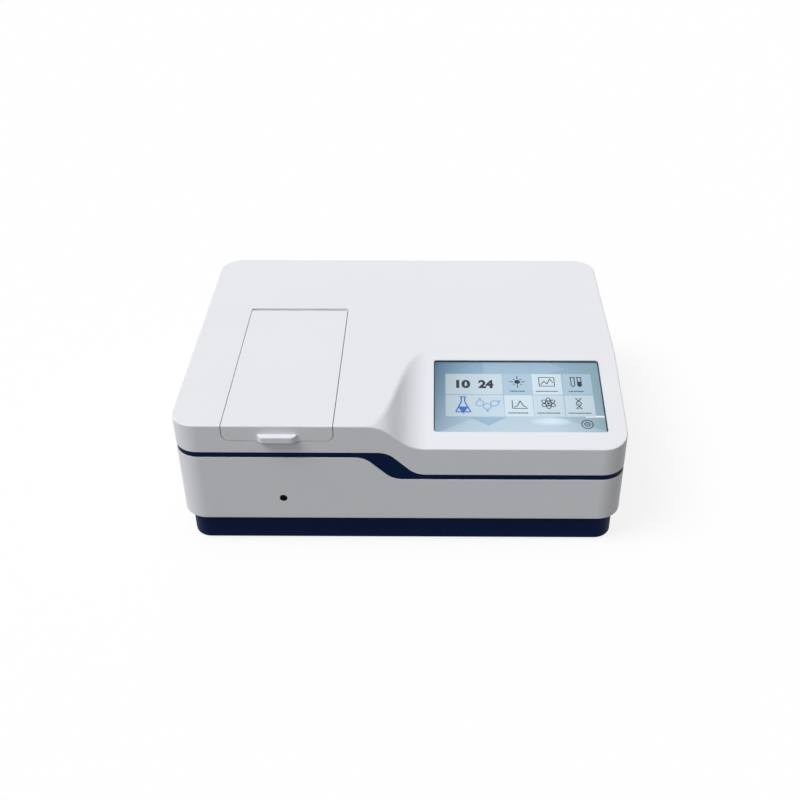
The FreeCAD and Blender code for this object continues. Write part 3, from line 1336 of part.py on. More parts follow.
def air_slot_places():
    """The left edge of each air slot of the lamp house."""
    return [LAMP_LEFT + AIR_START + k * AIR_PITCH for k in range(AIR_SLOTS)]


def lamp_cover_piece():
    """The slotted top of the lamp house."""
    top = LAMP_TOP + LAMP_COVER_THICK
    plate = block(LAMP_LEFT, LAMP_RIGHT, LAMP_FRONT, LAMP_REAR, LAMP_TOP, top)
    return plate.cut([block(x, x + AIR_WIDTH, LAMP_FRONT + AIR_INSET, LAMP_REAR - AIR_INSET,
                            LAMP_TOP - OVERCUT, top + OVERCUT) for x in air_slot_places()])


def domed_bulb(x, y, low, radius, high):
    """A glass envelope with a rounded top."""
    body = rod(x, y, low, radius, high - low)
    rim = [e for e in body.Edges if e.BoundBox.ZMin > high - 1e-6]
    return body.makeFillet(radius * BULB_DOME, rim)


def lamp_sockets_piece():
    """The two lamp sockets on the lamp house floor."""
    low = lamp_floor()
    y = SOURCE_Y - LAMP_OFFSET
    halogen = block(SELECTOR_X - HALOGEN_BASE_X, SELECTOR_X + HALOGEN_BASE_X, y - HALOGEN_BASE_Y,
                    y + HALOGEN_BASE_Y, low, HALOGEN_SEAT)
    y = SOURCE_Y + LAMP_OFFSET
    arc = rod(SELECTOR_X, y, low, ARC_RADIUS, ARC_SEAT - low)
    return Part.makeCompound([halogen, arc])


def selector_mirror_piece():
    """The turning mirror that picks one lamp, on its shaft."""
    plate = block(-SELECTOR_THICK, 0.0, -SELECTOR_HALF, SELECTOR_HALF,
                  BEAM_Z - SELECTOR_HALF, BEAM_Z + SELECTOR_HALF)
    hub = rod(-SELECTOR_THICK / 2, 0.0, SELECTOR_MOTOR_TOP + SEAT_GAP, SELECTOR_HUB,
              BEAM_Z - SELECTOR_HALF - SELECTOR_MOTOR_TOP)
    body = fuse_all([plate, hub])
    body.rotate(V(0, 0, 0), V(0, 0, 1), -45.0)
    shaft = rod(0.0, 0.0, SELECTOR_MOTOR_TOP - SELECTOR_SHAFT, PIN_RADIUS, SELECTOR_SHAFT + SELECTOR_SHAFT_OUT)
    body = fuse_all([body, shaft])
    body.translate(V(SELECTOR_X, SOURCE_Y, 0.0))
    return body


def selector_motor_piece():
    """The motor that turns the selector mirror."""
    low = lamp_floor()
    body = rod(SELECTOR_X, SOURCE_Y, low, SELECTOR_MOTOR_RADIUS, SELECTOR_MOTOR_TOP - low)
    return body.cut(rod(SELECTOR_X, SOURCE_Y, SELECTOR_MOTOR_TOP - SELECTOR_SHAFT - SEAT_GAP,
                        PIN_RADIUS + PIN_GAP, SELECTOR_SHAFT + SEAT_GAP + OVERCUT))


def panel_face():
    return REAR - PANEL_RECESS


def rear_panel_piece():
    """The stepped sheet-metal panel with its cut-outs."""
    y = panel_face()
    plate = panel_outline(-SEAT_GAP, y - PANEL_THICK, y)
    y0 = y - PANEL_THICK - OVERCUT
    depth = PANEL_THICK + 2 * OVERCUT
    cuts = [rod(FAN_X, y0, FAN_Z, FAN_BORE, depth, "y"),
            block(INLET_X - INLET_HALF_X, INLET_X + INLET_HALF_X, y0, y0 + depth,
                  SOCKET_Z - INLET_HALF_Z, SOCKET_Z + INLET_HALF_Z),
            block(SWITCH_X - SWITCH_HALF_X, SWITCH_X + SWITCH_HALF_X, y0, y0 + depth,
                  SOCKET_Z - SWITCH_HALF_Z, SOCKET_Z + SWITCH_HALF_Z)]
    for x, half_x, half_z in ((PORTS_X[0], USB_HALF_X, USB_HALF_Z),
                              (PORTS_X[1], SERIAL_HALF_X, SERIAL_HALF_Z)):
        cuts.append(block(x - half_x, x + half_x, y0, y0 + depth, SOCKET_Z - half_z, SOCKET_Z + half_z))
    return plate.cut(cuts)


def fan_front():
    return panel_face() - PANEL_THICK - FAN_DEPTH


def fan_frame_piece():
    """The fan's square frame with its round duct, hub plate and four struts."""
    half = FAN_SIZE / 2
    y = fan_front()
    body = rounded_block(FAN_X - half, FAN_X + half, y, y + FAN_DEPTH, FAN_Z - half, FAN_Z + half, FAN_CORNER)
    body = body.cut(rod(FAN_X, y - OVERCUT, FAN_Z, FAN_BORE, FAN_DEPTH + 2 * OVERCUT, "y"))
    arms = [body, rod(FAN_X, y, FAN_Z, FAN_HUB, FAN_STRUT_DEEP, "y")]
    reach = FAN_BORE + OVERCUT
    for turn in (45.0, 135.0):
        arms.append(fan_arm(reach, FAN_STRUT, FAN_STRUT_DEEP, turn, y))
    body = fuse_all(arms)
    return body.cut(rod(FAN_X, y - OVERCUT, FAN_Z, PIN_RADIUS + PIN_GAP, FAN_STRUT_DEEP + 2 * OVERCUT, "y"))


def fan_arm(reach, wide, deep, turn, y):
    """A flat bar across the fan's middle, turned about its axis."""
    arm = block(-reach, reach, 0.0, deep, -wide / 2, wide / 2)
    arm.rotate(V(0, 0, 0), V(0, 1, 0), turn)
    arm.translate(V(FAN_X, y, FAN_Z))
    return arm


def fan_rotor_piece():
    """The rotor: a cup hub with seven curved, pitched blades and its steel pin."""
    y = fan_front() + FAN_STRUT_DEEP + SEAT_GAP
    deep = FAN_DEPTH - 2 * FAN_STRUT_DEEP
    hub = rod(0, 0, 0, FAN_HUB, deep, "y")
    pin = rod(0, -FAN_STRUT_DEEP, 0, PIN_RADIUS, deep, "y")
    parts = [hub, pin]
    for k in range(FAN_BLADES):
        blade = fan_blade(deep)
        blade.rotate(V(0, 0, 0), V(0, 1, 0), 360.0 * k / FAN_BLADES)
        parts.append(blade)
    body = fuse_all(parts)
    body.translate(V(FAN_X, y, FAN_Z))
    return body


def fan_blade(deep):
    """One blade: a thin arc section, drawn out from the hub and trimmed by the duct."""
    tip = FAN_BORE - BLADE_ROOM
    start = V(-BLADE_HALF, BLADE_SETBACK, 0)
    middle = V(0, deep / 2 + BLADE_BOW, 0)
    end = V(BLADE_HALF, deep - BLADE_SETBACK, 0)
    start_in = start + V(BLADE_THICK * BLADE_EDGE, 0, 0)
    middle_in = middle - V(0, BLADE_THICK, 0)
    end_in = end - V(0, BLADE_THICK * BLADE_EDGE, 0)
    edges = [Part.Arc(start, middle, end).toShape(),
             Part.LineSegment(end, end_in).toShape(),
             Part.Arc(end_in, middle_in, start_in).toShape(),
             Part.LineSegment(start_in, start).toShape()]
    face = Part.Face(Part.Wire(edges))
    blade = face.extrude(V(0, 0, tip + OVERCUT))
    duct = rod(0, -OVERCUT, 0, tip, deep + 2 * OVERCUT, "y")
    return blade.common(duct)


def fan_guard_piece():
    """The finger guard: four flat rings on four arms, screwed to the panel."""
    y = panel_face()
    parts = []
    for k in range(GUARD_RINGS):
        radius = GUARD_FIRST + k * GUARD_PITCH
        loop = rod(FAN_X, y + GUARD_STAND, FAN_Z, radius, GUARD_WIRE, "y")
        hole = rod(FAN_X, y, FAN_Z, radius - GUARD_WIRE, GUARD_WIRE + 2 * GUARD_STAND, "y")
        parts.append(loop.cut(hole))
    reach = FAN_SIZE / 2 - GUARD_INSET
    for turn in (45.0, 135.0):
        parts.append(fan_arm(reach * math.sqrt(2.0), GUARD_ARM, GUARD_ARM_THICK, turn, y))
    for sx in (-1, 1):
        for sz in (-1, 1):
            parts.append(rod(FAN_X + sx * reach, y, FAN_Z + sz * reach, GUARD_EYE, GUARD_ARM_THICK, "y"))
    return fuse_all(parts)


def inlet_piece():
    """The mains inlet: a flanged socket with three flat pins."""
    y = panel_face()
    hx = INLET_HALF_X - SCREW_GAP
    hz = INLET_HALF_Z - SCREW_GAP
    body = block(INLET_X - hx, INLET_X + hx, y - INLET_DEEP, y, SOCKET_Z - hz, SOCKET_Z + hz)
    flange = rounded_block(INLET_X - hx - INLET_FLANGE_X, INLET_X + hx + INLET_FLANGE_X, y,
                           y + INLET_FLANGE_THICK, SOCKET_Z - hz - INLET_FLANGE_Z,
                           SOCKET_Z + hz + INLET_FLANGE_Z, INLET_FLANGE_CORNER)
    body = fuse_all([body, flange])
    cave_low = y - INLET_DEEP + INLET_BACK
    wide = hx - INLET_WALL
    high = hz - INLET_WALL
    slant = INLET_CUT_CORNER
    corners = [V(-wide, 0, -high), V(wide, 0, -high), V(wide, 0, high - slant),
               V(wide - slant, 0, high), V(slant - wide, 0, high), V(-wide, 0, high - slant)]
    points = [V(INLET_X, cave_low, SOCKET_Z) + corner for corner in corners]
    cave = Part.Face(Part.makePolygon(points + [points[0]])).extrude(V(0, INLET_DEEP + OVERCUT, 0))
    pins = [body.cut(cave)]
    for dx, dz in INLET_PINS:
        x = INLET_X + dx
        z = SOCKET_Z + dz
        pins.append(block(x - INLET_PIN_HALF_X, x + INLET_PIN_HALF_X, cave_low - OVERCUT,
                          y - INLET_PIN_SHY, z - INLET_PIN_HALF_Z, z + INLET_PIN_HALF_Z))
    return fuse_all(pins)


def switch_body_piece():
    """The power switch's housing and bezel."""
    y = panel_face()
    hx = SWITCH_HALF_X - SCREW_GAP
    hz = SWITCH_HALF_Z - SCREW_GAP
    body = block(SWITCH_X - hx, SWITCH_X + hx, y - SWITCH_DEEP, y, SOCKET_Z - hz, SOCKET_Z + hz)
    rim_x = hx + SWITCH_BEZEL
    rim_z = hz + SWITCH_BEZEL
    bezel = block(SWITCH_X - rim_x, SWITCH_X + rim_x, y, y + SWITCH_BEZEL_THICK,
                  SOCKET_Z - rim_z, SOCKET_Z + rim_z)
    body = fuse_all([body, bezel])
    cave_x = ROCKER_HALF_X + SEAT_GAP
    cave_z = ROCKER_HALF_Z + ROCKER_END_GAP
    cave = block(SWITCH_X - cave_x, SWITCH_X + cave_x, y - SWITCH_CAVE, y + SWITCH_BEZEL_THICK + OVERCUT,
                 SOCKET_Z - cave_z, SOCKET_Z + cave_z)
    reach = ROCKER_HALF_X + TRUNNION_RADIUS + SCREW_GAP
    bore = rod(SWITCH_X - reach, y - ROCKER_AXIS, SOCKET_Z, TRUNNION_RADIUS + PIN_GAP, 2 * reach, "x")
    return body.cut([cave, bore])


def rocker_piece():
    """The rocker, drawn in its off position, on two small trunnions."""
    y = panel_face() - ROCKER_AXIS
    end = ROCKER_PROUD + ROCKER_HALF_Z * math.tan(math.radians(ROCKER_TILT))
    corners = [V(0, -ROCKER_BACK, -ROCKER_HALF_Z), V(0, end, -ROCKER_HALF_Z), V(0, ROCKER_PROUD, 0),
               V(0, end, ROCKER_HALF_Z), V(0, -ROCKER_BACK, ROCKER_HALF_Z)]
    points = [V(-ROCKER_HALF_X, 0, 0) + corner for corner in corners]
    body = Part.Face(Part.makePolygon(points + [points[0]])).extrude(V(2 * ROCKER_HALF_X, 0, 0))
    body.rotate(V(0, 0, 0), V(1, 0, 0), -ROCKER_TILT)
    reach = ROCKER_HALF_X + TRUNNION_RADIUS
    body = fuse_all([body, rod(-reach, 0, 0, TRUNNION_RADIUS, 2 * reach, "x")])
    body.translate(V(SWITCH_X, y, SOCKET_Z))
    return body


def usb_piece():
    """The memory-stick socket: a folded shell with its tongue."""
    x = PORTS_X[0]
    y = panel_face()
    hx = USB_HALF_X - SCREW_GAP
    hz = USB_HALF_Z - SCREW_GAP
    back = y - PORT_SOCKET_DEEP
    front = y + USB_PROUD
    shell = block(x - hx, x + hx, back, front, SOCKET_Z - hz, SOCKET_Z + hz)
    cave_x = hx - USB_SHELL
    cave_z = hz - USB_SHELL
    cave = block(x - cave_x, x + cave_x, back + USB_BACK, front + OVERCUT, SOCKET_Z - cave_z, SOCKET_Z + cave_z)
    wide = hx - USB_TONGUE_INSET
    tongue = block(x - wide, x + wide, back + USB_BACK / 2, y - USB_PROUD, SOCKET_Z + USB_TONGUE_LOW,
                   SOCKET_Z + USB_TONGUE_TOP)
    return fuse_all([shell.cut(cave), tongue])


def serial_piece():
    """The nine-way serial socket: a flange with a D-shaped face and two jack posts."""
    x = PORTS_X[1]
    y = panel_face()
    hx = SERIAL_HALF_X - SCREW_GAP
    hz = SERIAL_HALF_Z - SCREW_GAP
    back = block(x - hx, x + hx, y - SERIAL_DEEP, y, SOCKET_Z - hz, SOCKET_Z + hz)
    flange = block(x - SERIAL_FLANGE_X, x + SERIAL_FLANGE_X, y, y + SERIAL_FLANGE_THICK,
                   SOCKET_Z - SERIAL_FLANGE_Z, SOCKET_Z + SERIAL_FLANGE_Z)
    high = SERIAL_FACE_HALF
    corners = [V(-SERIAL_FACE_TOP, 0, high), V(SERIAL_FACE_TOP, 0, high),
               V(SERIAL_FACE_LOW, 0, -high), V(-SERIAL_FACE_LOW, 0, -high)]
    points = [V(x, y, SOCKET_Z) + corner for corner in corners]
    face = Part.Face(Part.makePolygon(points + [points[0]])).extrude(V(0, SERIAL_FACE_PROUD, 0))
    posts = [rod(x + side * JACK_POST_X, y, SOCKET_Z, JACK_POST, SERIAL_FACE_PROUD, "y") for side in (-1, 1)]
    return fuse_all([back, flange, face] + posts)


def glass_block(low, high, grow):
    """The screen's glass pocket under the cover's lip."""
    border = GLASS_BORDER + grow
    return console_block(SCREEN_LEFT - border, SCREEN_RIGHT + border, SCREEN_NEAR - border,
                         SCREEN_FAR + border, low, high, SCREEN_CORNER + border)


def glass_piece():
    """The touch glass, held against the cover's lip."""
    return glass_block(-SCREEN_LIP - GLASS_THICK, -SCREEN_LIP, 0.0)


def lcd_top():
    return SCREEN_LIP + GLASS_THICK + SEAT_GAP


def lcd_piece():
    """The display module behind the glass."""
    b = LCD_BORDER
    return console_block(SCREEN_LEFT - b, SCREEN_RIGHT + b, SCREEN_NEAR - b, SCREEN_FAR + b,
                         -lcd_top() - LCD_THICK, -lcd_top(), LCD_CORNER)


def bracket_depth():
    return lcd_top() + LCD_THICK + SEAT_GAP


def bracket_places():
    """The cover's four bosses round the screen, as x and distance up the console."""
    out = GLASS_BORDER + BOSS_RADIUS
    xs = (SCREEN_LEFT - out - BOSS_CLEAR, SCREEN_RIGHT + out + BOSS_CLEAR_RIGHT)
    return [(x, s) for x in xs for s in (SCREEN_NEAR + BOSS_INSET, SCREEN_FAR - BOSS_INSET)]


def display_bracket_piece():
    """The sheet-metal frame that holds the display up against the glass."""
    low = -bracket_depth() - BRACKET_THICK
    high = -bracket_depth()
    out = GLASS_BORDER + 2 * BOSS_RADIUS
    plate = console_block(SCREEN_LEFT - out - BOSS_CLEAR, SCREEN_RIGHT + out + BOSS_CLEAR_RIGHT,
                          SCREEN_NEAR - BRACKET_LAP, SCREEN_FAR + BRACKET_LAP, low, high, BRACKET_CORNER)
    hole = console_block(SCREEN_LEFT + BRACKET_WINDOW_X, SCREEN_RIGHT - BRACKET_WINDOW_X,
                         SCREEN_NEAR + BRACKET_WINDOW_S, SCREEN_FAR - BRACKET_WINDOW_S,
                         low - OVERCUT, high + OVERCUT, BRACKET_WINDOW_CORNER)
    return plate.cut(hole)


def main_board_piece():
    """The main board with its processor, connectors and capacitors."""
    z = BOARD_Z + BOARD_THICK
    long = BOARD_RIGHT - BOARD_LEFT
    broad = BOARD_REAR - BOARD_FRONT
    parts = [block(BOARD_LEFT, BOARD_RIGHT, BOARD_FRONT, BOARD_REAR, BOARD_Z, z)]
    for across, up, wide, deep, high in CHIPS:
        x = BOARD_LEFT + across * long
        y = BOARD_FRONT + up * broad
        parts.append(block(x, x + wide, y, y + deep, z - SOLDER, z + high))
    for k in range(CAPACITOR_COUNT):
        x = BOARD_LEFT + CAPACITOR_X * long + CAPACITOR_PITCH * k
        y = BOARD_FRONT + CAPACITOR_Y * broad
        parts.append(rod(x, y, z - SOLDER, CAPACITOR_RADIUS, CAPACITOR_TALL))
    return fuse_all(parts)


def power_supply_piece():
    """The open-frame power supply on its folded bracket."""
    z = chassis_top()
    floor = block(PSU_LEFT, PSU_RIGHT, PSU_FRONT, PSU_REAR, z, z + PSU_SHEET)
    side = block(PSU_RIGHT - PSU_SHEET, PSU_RIGHT, PSU_FRONT, PSU_REAR, z, z + PSU_SIDE)
    low = z + PSU_LIFT
    inset = PSU_BOARD_INSET
    board = block(PSU_LEFT + inset, PSU_RIGHT - PSU_SHEET - inset, PSU_FRONT + inset, PSU_REAR - inset,
                  low, low + BOARD_THICK)
    parts = [floor, side, board]
    for x in (PSU_LEFT + PSU_STUD_INSET, PSU_RIGHT - PSU_SHEET - PSU_STUD_INSET):
        for y in (PSU_FRONT + PSU_STUD_INSET, PSU_REAR - PSU_STUD_INSET):
            parts.append(rod(x, y, z + PSU_SHEET / 2, PSU_STUD_RADIUS, PSU_LIFT))
    top = low + BOARD_THICK / 2
    middle = (PSU_FRONT + PSU_REAR) / 2
    core = PSU_LEFT + PSU_CORE_X
    parts.append(block(core, core + PSU_CORE_WIDE, middle - PSU_CORE_HALF, middle + PSU_CORE_HALF,
                       top, top + PSU_CORE_TALL))
    fin = PSU_LEFT + PSU_FIN_X
    parts.append(block(fin, fin + PSU_FIN_THICK, middle - PSU_FIN_FRONT, middle + PSU_FIN_REAR,
                       top, top + PSU_FIN_TALL))
    for k in range(PSU_CAN_COUNT):
        x = PSU_LEFT + PSU_CAN_X + PSU_CAN_PITCH * k
        parts.append(rod(x, PSU_REAR - PSU_CAN_INSET, top, PSU_CAN_RADIUS, PSU_CAN_TALL))
    parts.append(rod(PSU_LEFT + PSU_BULK_X, PSU_FRONT + PSU_CAN_INSET, top, PSU_BULK_RADIUS, PSU_BULK_TALL))
    return fuse_all(parts)


def halogen_piece():
    """The tungsten lamp's glass."""
    y = SOURCE_Y - LAMP_OFFSET
    return domed_bulb(SELECTOR_X, y, HALOGEN_SEAT, HALOGEN_RADIUS, BEAM_Z + HALOGEN_RISE)


def arc_lamp_piece():
    """The deuterium lamp's glass."""
    y = SOURCE_Y + LAMP_OFFSET
    return domed_bulb(SELECTOR_X, y, ARC_SEAT, ARC_GLASS, LAMP_TOP - ARC_HEADROOM)


COLLIMATOR, FOCUSER = mirror_stations()

PIECES = {
    "upper_cover": cover_piece(),
    "trim_band": band_piece(),
    "lower_housing": housing_piece(),
    "base_tray": tray_piece(),
    "rubber_feet": feet_piece(),
    "cover_screws": cover_screws_piece(),
    "chassis_plate": chassis_piece(),
    "bench_pillars": pillars_piece(),
    "optical_bench": bench_piece(),
    "sample_lid": lid_piece(),
    "lid_liner": liner_piece(),
    "hinge_pin": hinge_pin_piece(),
    "hinge_brackets": brackets_piece(),
    "lid_seal": seal_piece(),
    "compartment_tub": tub_piece(),
    "beam_windows": windows_piece(),
    "rod_bush": bush_piece(),
    "guide_rods": guides_piece(),
    "cell_rack": rack_piece(),
    "pull_rod": pull_rod_piece(),
    "light_tubes": tubes_piece(),
    "beam_lens": lens_piece(),
    "detector_bracket": detector_bracket_piece(),
    "detector_board": detector_board_piece(),
    "monochromator_box": monochromator_piece(),
    "monochromator_lid": monochromator_lid_piece(),
    "beam_slits": slits_piece(),
    "collimating_mirror": mirror_piece(*COLLIMATOR),
    "focusing_mirror": mirror_piece(*FOCUSER),
    "mirror_mounts": mounts_piece(),
    "grating_turntable": sector_piece(),
    "grating": grating_piece(),
    "wavelength_pinion": pinion_piece(),
    "wavelength_motor": motor_piece(),
    "filter_wheel": wheel_piece(),
    "order_filters": filters_piece(),
    "filter_bracket": filter_bracket_piece(),
    "filter_motor": filter_motor_piece(),
    "lamp_house": lamp_house_piece(),
    "lamp_cover": lamp_cover_piece(),
    "lamp_sockets": lamp_sockets_piece(),
    "tungsten_lamp": halogen_piece(),
    "deuterium_lamp": arc_lamp_piece(),
    "selector_mirror": selector_mirror_piece(),
    "selector_motor": selector_motor_piece(),
    "rear_panel": rear_panel_piece(),
    "fan_frame": fan_frame_piece(),
    "fan_rotor": fan_rotor_piece(),
    "fan_guard": fan_guard_piece(),
    "mains_inlet": inlet_piece(),
    "switch_body": switch_body_piece(),
    "switch_rocker": rocker_piece(),
    "usb_socket": usb_piece(),
    "serial_socket": serial_piece(),
    "touch_glass": glass_piece(),
    "display_module": lcd_piece(),
    "display_bracket": display_bracket_piece(),
    "main_board": main_board_piece(),
    "power_supply": power_supply_piece(),
}

os.makedirs("parts", exist_ok=True)
for name, shape in PIECES.items():
    shape.translate(V(0, HANDLE_OUT / 2, 0))
    shape.exportStep("parts/" + name + ".step")
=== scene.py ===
import bmesh
import bpy
import math
from mathutils import Matrix, Vector


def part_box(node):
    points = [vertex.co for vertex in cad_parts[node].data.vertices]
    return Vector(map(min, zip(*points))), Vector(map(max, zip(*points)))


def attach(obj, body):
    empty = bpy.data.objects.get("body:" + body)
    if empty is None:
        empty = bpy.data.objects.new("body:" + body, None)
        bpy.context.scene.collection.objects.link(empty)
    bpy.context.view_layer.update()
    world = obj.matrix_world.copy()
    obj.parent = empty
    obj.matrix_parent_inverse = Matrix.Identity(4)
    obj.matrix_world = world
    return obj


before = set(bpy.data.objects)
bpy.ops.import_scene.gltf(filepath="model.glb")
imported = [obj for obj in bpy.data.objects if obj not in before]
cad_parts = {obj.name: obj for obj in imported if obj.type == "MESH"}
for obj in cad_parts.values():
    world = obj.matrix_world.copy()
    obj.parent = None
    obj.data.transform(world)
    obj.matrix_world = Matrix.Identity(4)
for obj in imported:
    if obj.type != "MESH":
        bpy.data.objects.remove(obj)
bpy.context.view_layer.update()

# Rubber feet. Four moulded rubber discs, each pushed into the tray by a spigot.
# The soft rubber is nearly black, with a dull skin that picks up pale dust.


class Wire:
    """One socket in a material's tree. Sums written on it become Math nodes there."""

    def __init__(self, tree, socket):
        self.tree = tree
        self.socket = socket

    def node(self, kind, settings=None, inputs=None, out=0):
        """Any node: its settings first, then values or wires for its inputs."""
        made = self.tree.nodes.new("ShaderNode" + kind)
        for name, value in (settings or {}).items():
            if name == "stops":
                ramp = made.color_ramp.elements
                while len(ramp) < len(value):
                    ramp.new(1.0)
                for stop, (where, tint) in zip(ramp, value):
                    stop.position = where
                    stop.color = tint
            else:
                setattr(made, name, value)
        for name, value in (inputs or {}).items():
            if isinstance(value, Wire):
                self.tree.links.new(value.socket, made.inputs[name])
            else:
                made.inputs[name].default_value = value
        return Wire(self.tree, made.outputs[out])

    def math(self, operation, *values):
        """A Math node on these values or wires."""
        return self.node("Math", {"operation": operation}, dict(enumerate(values)))

    def __add__(self, other):
        return self.math("ADD", self, other)

    def __radd__(self, other):
        return self.math("ADD", other, self)

    def __sub__(self, other):
        return self.math("SUBTRACT", self, other)

    def __rsub__(self, other):
        return self.math("SUBTRACT", other, self)

    def __mul__(self, other):
        return self.math("MULTIPLY", self, other)

    def __rmul__(self, other):
        return self.math("MULTIPLY", other, self)

    def __truediv__(self, other):
        return self.math("DIVIDE", self, other)

    def __gt__(self, other):
        return self.math("GREATER_THAN", self, other)

    def __lt__(self, other):
        return self.math("LESS_THAN", self, other)

    def noise(self, scale, detail=2.0):
        """Noise at this place, that many swells to a metre."""
        return self.node("TexNoise", {}, {"Vector": self, "Scale": scale, "Detail": detail})

    def blend(self, first, second):
        """A colour between two others, by this wire."""
        return self.node("Mix", {"data_type": "RGBA"}, {0: self, 6: first, 7: second}, 2)

    def split(self):
        """The three parts of a place, in metres."""
        return [self.node("SeparateXYZ", {}, {"Vector": self}, k) for k in range(3)]


def colour(red, green, blue):
    """A colour as a painter's chart gives it, 0 to 255, in linear light."""
    parts = [v / 255 for v in (red, green, blue)]
    return tuple(v / 12.92 if v <= 0.04045 else ((v + 0.055) / 1.055) ** 2.4 for v in parts) + (1.0,)


def start_finish(name):
    """A new material, and the wire that gives a place on the object, in metres."""
    material = bpy.data.materials.new(name)
    material.use_nodes = True
    material.node_tree.nodes.clear()
    return material, Wire(material.node_tree, None).node("TexCoord", out="Object")


def end_finish(place, base, rough, height=None, depth=0.0001, **set_once):
    """Closes a finish with its surface: colour, roughness and a bump of that depth."""
    sockets = {"Base Color": base, "Roughness": rough}
    if height is not None:
        sockets["Normal"] = place.node("Bump", {}, {"Height": height, "Distance": depth, "Strength": 1.0})
    sockets.update({name.replace("_", " "): value for name, value in set_once.items()})
    close(place, place.node("BsdfPrincipled", {}, sockets))


def close(place, surface):
    """Joins a surface to the material's output."""
    last = place.tree.nodes.new("ShaderNodeOutputMaterial")
    place.tree.links.new(surface.socket, last.inputs["Surface"])


def dress(material, *names):
    """Gives a finish to whole CAD nodes."""
    for name in names:
        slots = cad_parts[name].data.materials
        slots.clear()
        slots.append(material)


rubber, place = start_finish("foot rubber")
dust = place.noise(900.0, 3.0)
end_finish(place, dust.blend(colour(22, 22, 24), colour(44, 43, 42)), 0.62 + dust * 0.25, dust, 0.00008)
dress(rubber, "rubber_feet")

# Base tray. A dark blue moulded tray under the casing, drawn in behind its edge.
# It and the band above are the same satin plastic with a fine eroded texture.

navy, place = start_finish("navy moulded plastic")
grain = place.noise(2600.0, 2.0)
cloud = place.noise(14.0, 2.0)
end_finish(place, cloud.blend(colour(1, 21, 60), colour(3, 26, 68)), 0.4 + grain * 0.12, grain, 0.00003,
           Specular_IOR_Level=0.06)
dress(navy, "base_tray", "trim_band")

# Chassis and cover screws. The floor is zinc-plated sheet with a faint crystal bloom,
# and four long plated screws run up from the tray into the cover.

zinc, place = start_finish("zinc plated sheet")
bloom = place.node("TexVoronoi", {}, {"Vector": place, "Scale": 120.0})
scratch = place.noise(700.0, 3.0)
end_finish(place, bloom.blend(colour(176, 178, 180), colour(200, 202, 204)), 0.3 + scratch * 0.2, scratch,
           0.00002, Metallic=1.0)
dress(zinc, "chassis_plate", "filter_bracket", "display_bracket")

steel, place = start_finish("ground steel")
lines = place.noise(1500.0, 2.0)
end_finish(place, lines.blend(colour(150, 152, 156), colour(190, 192, 196)), 0.2 + lines * 0.15, lines,
           0.00001, Metallic=1.0)
dress(steel, "cover_screws", "bench_pillars", "guide_rods", "hinge_pin", "fan_guard",
      "usb_socket", "serial_socket")

# Optical bench and lamp house. Milled aluminium plate, with the arcs of the cutter
# still on it, and the same finish on the cast monochromator box.

aluminium, place = start_finish("milled aluminium")
arcs = place.node("TexWave", {"wave_type": "RINGS", "rings_direction": "SPHERICAL"},
                  {"Vector": place, "Scale": 260.0, "Distortion": 0.4, "Detail": 1.0}, "Fac")
cast = place.noise(340.0, 3.0)
end_finish(place, cast.blend(colour(196, 198, 200), colour(214, 216, 218)), 0.28 + arcs * 0.1, arcs, 0.00001,
           Metallic=1.0)
dress(aluminium, "optical_bench", "monochromator_box", "monochromator_lid", "grating_turntable",
      "lamp_house", "lamp_cover", "power_supply")

# Sample compartment. Black anodised aluminium parts keep stray light down: the tub,
# the cell rack, the light tubes, and the brackets that carry the hinge and detector.

anodised, place = start_finish("black anodised aluminium")
pores = place.noise(1800.0, 2.0)
end_finish(place, pores.blend(colour(20, 20, 22), colour(32, 32, 35)), 0.42 + pores * 0.16, pores, 0.00002,
           Metallic=0.4)
dress(anodised, "compartment_tub", "cell_rack", "light_tubes", "hinge_brackets", "detector_bracket",
      "beam_slits", "mirror_mounts", "filter_wheel")

foam, place = start_finish("closed cell foam")
cells = place.node("TexVoronoi", {}, {"Vector": place, "Scale": 1400.0})
end_finish(place, cells.blend(colour(18, 18, 19), colour(42, 42, 43)), 0.85 + cells * 0.1, cells, 0.00015)
dress(foam, "lid_seal")

quartz, place = start_finish("polished quartz")
film = place.noise(60.0, 2.0)
end_finish(place, film.blend(colour(236, 242, 250), colour(250, 252, 255)), 0.01 + film * 0.03,
           Transmission_Weight=1.0, IOR=1.46)
dress(quartz, "beam_windows", "beam_lens", "tungsten_lamp", "deuterium_lamp")

# Monochromator. Aluminised glass mirrors and a ruled grating on its turntable, a brass
# pinion on the stepping motor, and a wheel of coloured filter glasses.

mirror, place = start_finish("aluminised glass")
haze = place.noise(90.0, 2.0)
end_finish(place, haze.blend(colour(232, 234, 238), colour(244, 245, 248)), 0.02 + haze * 0.03, Metallic=1.0)
dress(mirror, "collimating_mirror", "focusing_mirror", "selector_mirror")

ruling, place = start_finish("ruled grating")
y, z = place.split()[1:]
# The rainbow bands are painted diffraction colours, a painted reflection in the metal's colour; roughness
# follows them.
order = place.math("SINE", y * 900.0 + z * 200.0) * 0.5 + 0.5
tint = place.node("ValToRGB", {"stops": [(0.0, colour(230, 200, 210)), (0.35, colour(225, 232, 190)),
                                        (0.65, colour(190, 232, 236)), (1.0, colour(212, 200, 240))]},
                  {"Fac": order})
end_finish(place, tint, 0.1 + order * 0.05, place.math("SINE", y * 30000.0), 0.00001, Metallic=1.0)
dress(ruling, "grating")

brass, place = start_finish("cut brass")
cut = place.noise(1200.0, 2.0)
end_finish(place, cut.blend(colour(196, 160, 84), colour(220, 186, 110)), 0.22 + cut * 0.15, cut, 0.00001,
           Metallic=1.0)
dress(brass, "wavelength_pinion")

motor, place = start_finish("motor case")
cap = place.noise(800.0, 2.0)
end_finish(place, cap.blend(colour(44, 45, 48), colour(66, 67, 70)), 0.35 + cap * 0.2, cap, 0.00002,
           Metallic=0.8)
dress(motor, "wavelength_motor", "filter_motor", "selector_motor")

